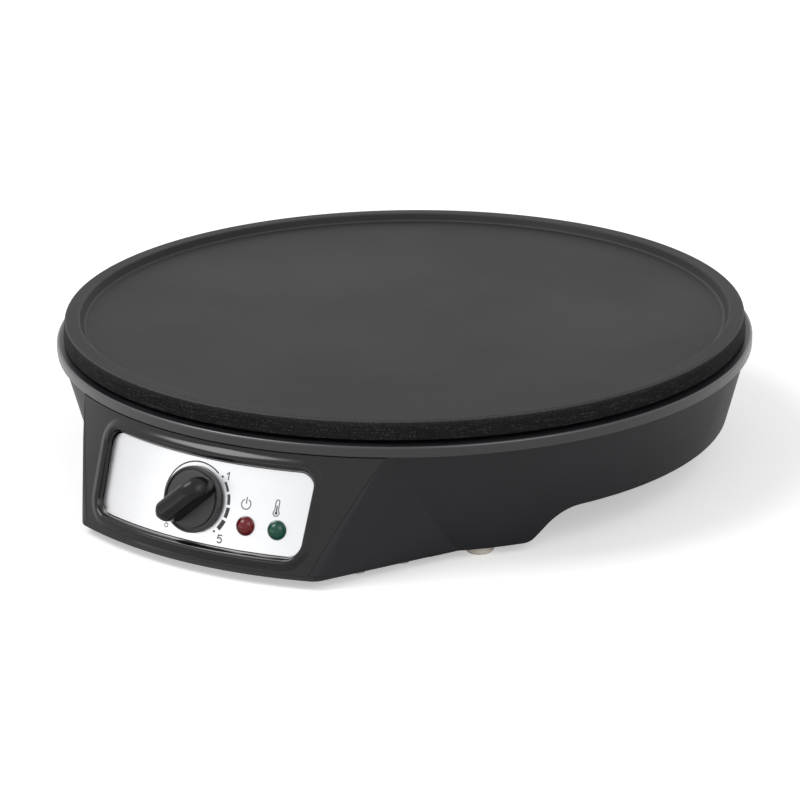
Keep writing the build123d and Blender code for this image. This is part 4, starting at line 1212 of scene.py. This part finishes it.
@dataclass
class PanelFrame:
    """Rounded glossy bead round the control panel, in millimetres."""

    face: PanelFace
    wardrobe: Wardrobe
    up: float = 17.1
    down: float = 16.6
    top_angle: float = 18.9
    bottom_angle: float = 17.2
    corner_r: float = 6.0
    face_depth: float = 2.3
    gap: float = 0.02
    crest_s: float = 2.2
    crest_h: float = 1.05
    tail: float = 3.9
    sink: float = 0.05
    root: float = -0.3
    root_s: float = 1.2
    tail_root: float = 1.2
    corner_steps: int = 14
    edge_steps: int = 40
    crest_steps: int = 14
    tail_steps: int = 16

    def half_width(self, v: float, angle: float) -> float:
        """Half width of the panel at a height on its slope."""
        return math.radians(angle) * (self.face.middle_r - v * math.sin(self.face.lean))

    def path(self) -> list[tuple[Vector, Vector]]:
        """Panel's outline on its own face.

        Returns:
            Points and outward directions, counter-clockwise.
        """
        top = self.half_width(self.up, self.top_angle)
        foot = self.half_width(-self.down, self.bottom_angle)
        corners = [(top, self.up), (-top, self.up), (-foot, -self.down), (foot, -self.down)]
        corners = [Vector(corner) for corner in corners]
        arcs = []
        for i, here in enumerate(corners):
            run_in = (here - corners[i - 1]).normalized()
            turn = run_in.angle((corners[(i + 1) % 4] - here).normalized())
            side = Vector((run_in.y, -run_in.x))
            centre = here - run_in * self.corner_r * math.tan(turn / 2) - side * self.corner_r
            first = math.atan2(side.y, side.x)
            angles = (first + turn * k / self.corner_steps for k in range(self.corner_steps + 1))
            outs = [Vector((math.cos(a), math.sin(a))) for a in angles]
            arcs.append([(centre + out * self.corner_r, out) for out in outs])
        points: list[tuple[Vector, Vector]] = []
        for arc, after in zip(arcs, arcs[1:] + arcs[:1]):
            start, out = arc[-1]
            end = after[0][0]
            points += arc
            points += [(start.lerp(end, k / self.edge_steps), out) for k in range(1, self.edge_steps)]
        return points

    def section(self) -> list[Point]:
        """Closed section: distance outside the panel's outline and height over its face.

        Returns:
            Its points, from the panel over the crest to the fascia.
        """
        crest = self.gap + self.crest_s
        crest_radii = (self.crest_s, self.face_depth + self.crest_h)
        inner = bow((crest, 0.0), crest_radii, (180, 90), self.crest_steps)
        outer = []
        for i in range(1, self.tail_steps + 1):
            share = i / self.tail_steps
            fall = self.crest_h * (0.5 + 0.5 * math.cos(math.pi * share)) - self.sink * share
            outer.append((crest + self.tail * share, self.face_depth + fall))
        under = [(crest + self.tail, self.tail_root), (self.root_s, self.root), (self.gap, self.root)]
        return under[2:] + inner + outer + under[:2]

    def build(self) -> None:
        """Makes the bead."""
        section, path = self.section(), self.path()
        spots = [(point + out * s, w) for point, out in path for s, w in section]
        verts = [self.face.lay(spot.x, spot.y, w) for spot, w in spots]
        faces = tube_faces(len(path), len(section), closed=True)
        bead = mesh_piece("panel_frame", verts, faces, self.wardrobe.get(Finish.GLOSS))
        smooth_shell(bead, sharp=40.0)
        settle(bead, Body.BASE)


@dataclass
class ControlKnob:
    """Knob with a ringed disc and a loaf-shaped bar grip, in millimetres over the panel's face."""

    face: PanelFace
    wardrobe: Wardrobe
    turn: float = 224.4
    disc_r: float = 13.4
    lift: float = 0.5
    foot_bevel: float = 0.2
    disc_top: float = 2.6
    edge_r: float = 0.7
    ring_out: float = 12.5
    ring_in: float = 11.4
    ring_depth: float = 0.7
    ring_draft: float = 0.15
    crown_inset: float = 0.3
    crown: float = 0.12
    grip_half_l: float = 12.8
    grip_half_w: float = 4.4
    grip_top: float = 13.4
    grip_sink: float = 0.6
    tail_r: float = 9.0
    nose_r: float = 4.0
    crest_r: float = 3.6
    least: float = 0.02
    least_rise: float = 0.05
    mark_half_w: float = 0.45
    mark_rise: float = 2.2
    mark_deep: float = 0.5
    mark_proud: float = 0.05
    mark_bend: Point = (8.0, 40.0)
    mark_steps: int = 4
    turns: int = 96
    bevel_steps: int = 5
    end_steps: int = 18
    bar_steps: int = 28
    crest_steps: int = 10
    wall_steps: int = 5

    def disc(self) -> Shape:
        """Turned disc with the ring groove in its top.

        Returns:
            Corners and faces.
        """
        top, bevel, floor = self.disc_top, self.edge_r, self.disc_top - self.ring_depth
        line = [(self.disc_r - self.foot_bevel, self.lift), (self.disc_r, self.lift + self.foot_bevel)]
        line += bow((self.disc_r - bevel, top - bevel), (bevel, bevel), (0, 90), self.bevel_steps)
        line += [(self.ring_out, top), (self.ring_out - self.ring_draft, floor)]
        line += [(self.ring_in + self.ring_draft, floor), (self.ring_in, top)]
        line += [(self.ring_in - self.crown_inset, top + self.crown)]
        angles = [2 * math.pi * k / self.turns for k in range(self.turns)]
        verts = [Vector((r * math.cos(a), r * math.sin(a), z)) for r, z in line for a in angles]
        return verts, tube_faces(len(line), self.turns)

    def ridge(self, x: float) -> float:
        """Height of the grip's crest at a place along it.

        Args:
            x: the place, from the knob's axis.

        Returns:
            The height over the panel.
        """
        radius = self.nose_r if x > 0 else self.tail_r
        past = max(0.0, abs(x) - self.grip_half_l + radius)
        return self.grip_top - radius + math.sqrt(max(0.0, radius**2 - past**2))

    def grip(self) -> Shape:
        """Loaf-shaped grip: rounded plan, rounded crest, sloping tail.

        Returns:
            Corners and faces.
        """
        low, flat_x = self.disc_top - self.grip_sink, self.grip_half_l - self.grip_half_w
        ends = [math.sin(math.pi / 2 * i / self.end_steps) for i in range(self.end_steps + 1)]
        stations = [-flat_x - self.grip_half_w * end for end in reversed(ends)]
        stations += [flat_x * (2 * i / self.bar_steps - 1) for i in range(1, self.bar_steps)]
        stations += [flat_x + self.grip_half_w * end for end in ends]
        verts: list[Vector] = []
        for x in stations:
            past = max(0.0, abs(x) - flat_x)
            half = max(self.least, math.sqrt(max(0.0, self.grip_half_w**2 - past**2)))
            top = max(low + self.least_rise, self.ridge(x))
            across, drop = min(self.crest_r, half), min(self.crest_r, top - low - self.least)
            left = [(-half, low + (top - drop - low) * i / self.wall_steps) for i in range(self.wall_steps)]
            left += bow((across - half, top - drop), (across, drop), (180, 90), self.crest_steps)
            verts += [Vector((x, y, z)) for y, z in left + [(-y, z) for y, z in reversed(left)]]
        return verts, tube_faces(len(stations), len(verts) // len(stations))

    def mark(self) -> Shape:
        """Narrow inlay down the grip's nose.

        Returns:
            Corners and faces.
        """
        face_x, reach = self.grip_half_l + self.mark_proud, self.nose_r + self.mark_proud
        centre = (self.grip_half_l - self.nose_r, self.grip_top - self.nose_r)
        line = [(face_x, self.disc_top + self.mark_rise), (face_x, centre[1])]
        line += bow(centre, (reach, reach), self.mark_bend, self.mark_steps)
        half, deep = self.mark_half_w, self.mark_deep
        section = ((-half, 0.0), (half, 0.0), (half, deep), (-half, deep))
        verts = [Vector((x - back, y, z)) for x, z in line for y, back in section]
        return verts, tube_faces(len(line), len(section))

    def piece(self, name: str, shape: Shape, finish: Finish, sharp: float = 35.0) -> Object:
        """Sets a shape on the panel at the knob's rest angle and lets it ride on the knob's body.

        Args:
            name: name of the piece.
            shape: its corners and faces in the knob's frame.
            finish: its finish.
            sharp: edges over this angle stay sharp, in degrees.

        Returns:
            The piece.
        """
        place = self.face.knob_frame(self.turn)
        verts = [place @ (v * MM) for v in shape[0]]
        piece = mesh_piece(name, verts, shape[1], self.wardrobe.get(finish))
        smooth_shell(piece, sharp)
        settle(piece, Body.KNOB)
        return piece

    def build(self) -> None:
        """Makes the knob, in the CAD knob's place."""
        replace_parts(self.piece("knob_disc", self.disc(), Finish.KNOB_DISC), "knob")
        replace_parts(self.piece("knob_grip", self.grip(), Finish.KNOB_GRIP, sharp=50.0), "knob")
        self.piece("knob_mark", self.mark(), Finish.PALE_INK)


# studio
@dataclass(frozen=True)
class Lamp:
    """One soft area lamp that looks at the object, in metres and watts."""

    name: str
    spot: tuple[float, float, float]
    size: Point
    power: float

    def build(self) -> None:
        """Makes the lamp."""
        data = bpy.data.lights.new(self.name, "AREA")
        data.shape = "RECTANGLE"
        data.size, data.size_y = self.size
        data.energy = self.power
        facing = (-Vector(self.spot)).to_track_quat("-Z", "Y").to_matrix().to_4x4()
        place_object(self.name, data).matrix_world = Matrix.Translation(self.spot) @ facing


@dataclass
class Studio:
    """Camera, lamps, world and floor."""

    azimuth: float = 31.8
    elevation: float = 17.95
    distance: float = 1.1
    pivot_z: float = 0.064
    aim: Vector = field(default_factory=lambda: Vector((-0.00243, 0.0, 0.0174)))
    roll: float = -0.813
    focal_px: float = 2470.0
    frame_px: float = 800.0
    sensor_mm: float = 36.0
    clip: Point = (0.05, 20.0)
    ambient: float = 0.45
    floor_half: float = 3.0
    floor_tone: float = 0.8
    floor_glow: float = 0.45
    lamps: tuple[Lamp, ...] = (
        Lamp("key_lamp", (-1.2, -1.0, 2.2), size=(1.3, 1.3), power=34.0),
        Lamp("fill_lamp", (1.6, -0.6, 1.6), size=(1.4, 1.4), power=12.0),
        Lamp("low_strip_lamp", (-0.55, -1.35, 0.1), size=(1.3, 0.22), power=1.6),
    )

    def camera(self) -> None:
        """Puts the camera at the viewing angle, looking a little under the plate's centre."""
        cam = place_object("camera", bpy.data.cameras.new("camera"))
        turn = Matrix.Rotation(math.radians(self.azimuth), 4, "Z")
        lift = math.radians(self.elevation)
        away = Vector((0, -self.distance * math.cos(lift), self.distance * math.sin(lift) + self.pivot_z))
        eye, target = AXIS + turn @ away, AXIS + turn @ self.aim
        aim = (target - eye).to_track_quat("-Z", "Y").to_matrix().to_4x4()
        cam.matrix_world = Matrix.Translation(eye) @ aim @ Matrix.Rotation(math.radians(self.roll), 4, "Z")
        cam.data.sensor_width = self.sensor_mm
        cam.data.lens = self.focal_px * self.sensor_mm / self.frame_px
        cam.data.clip_start, cam.data.clip_end = self.clip
        bpy.context.scene.camera = cam

    def world(self) -> None:
        """White surround for what looks at it, gentler light on matt surfaces."""
        world = bpy.data.worlds.new("studio")
        bpy.context.scene.world = world
        world.use_nodes = True
        world.node_tree.nodes.clear()
        g = Graph(world.node_tree)
        path = g.node("ShaderNodeLightPath").outputs
        seen = g.math("MAXIMUM", path["Is Camera Ray"], path["Is Glossy Ray"])
        seen = g.math("MAXIMUM", seen, path["Is Transmission Ray"])
        dim = g.node("ShaderNodeBackground", {"Color": colour(1, 1, 1), "Strength": self.ambient})
        white = g.node("ShaderNodeBackground", {"Color": colour(1, 1, 1), "Strength": 1.0})
        mix = g.node("ShaderNodeMixShader", {0: seen, 1: dim.outputs[0], 2: white.outputs[0]})
        g.node("ShaderNodeOutputWorld", {"Surface": mix.outputs[0]})

    def floor(self) -> None:
        """Plain pale floor that keeps the object's shadow."""
        half, tone = self.floor_half, self.floor_tone
        material = bpy.data.materials.new("floor")
        material.use_nodes = True
        material.node_tree.nodes.clear()
        g = Graph(material.node_tree)
        path = g.node("ShaderNodeLightPath").outputs
        matt = g.node("ShaderNodeBsdfDiffuse", {"Color": colour(tone, tone, tone)}).outputs[0]
        glow = g.node("ShaderNodeEmission", {"Strength": self.floor_glow}).outputs[0]
        lifted = g.node("ShaderNodeAddShader", {0: matt, 1: glow}).outputs[0]
        mix = g.node("ShaderNodeMixShader", {0: path["Is Camera Ray"], 1: matt, 2: lifted})
        g.node("ShaderNodeOutputMaterial", {"Surface": mix.outputs[0]})
        corners = [(-half, -half, 0), (half, -half, 0), (half, half, 0), (-half, half, 0)]
        mesh_piece("floor", corners, [(0, 1, 2, 3)], material)

    def build(self) -> None:
        """Sets the whole studio up."""
        bpy.context.scene.view_settings.view_transform = "Standard"
        self.camera()
        self.world()
        self.floor()
        for lamp in self.lamps:
            lamp.build()
        LOG.info("studio set up")


def main() -> None:
    """Builds and dresses each piece in order."""
    logging.basicConfig(level=logging.INFO, stream=sys.stdout)
    Studio().build()
    wardrobe = Wardrobe()
    wardrobe.dress_nodes()
    face = PanelFace()
    HousingSkins(wardrobe).build()
    PanelFrame(face, wardrobe).build()
    PanelPrint(MarkTrees(face), wardrobe).build()
    ControlKnob(face, wardrobe).build()


if __name__ == "__main__":
    main()
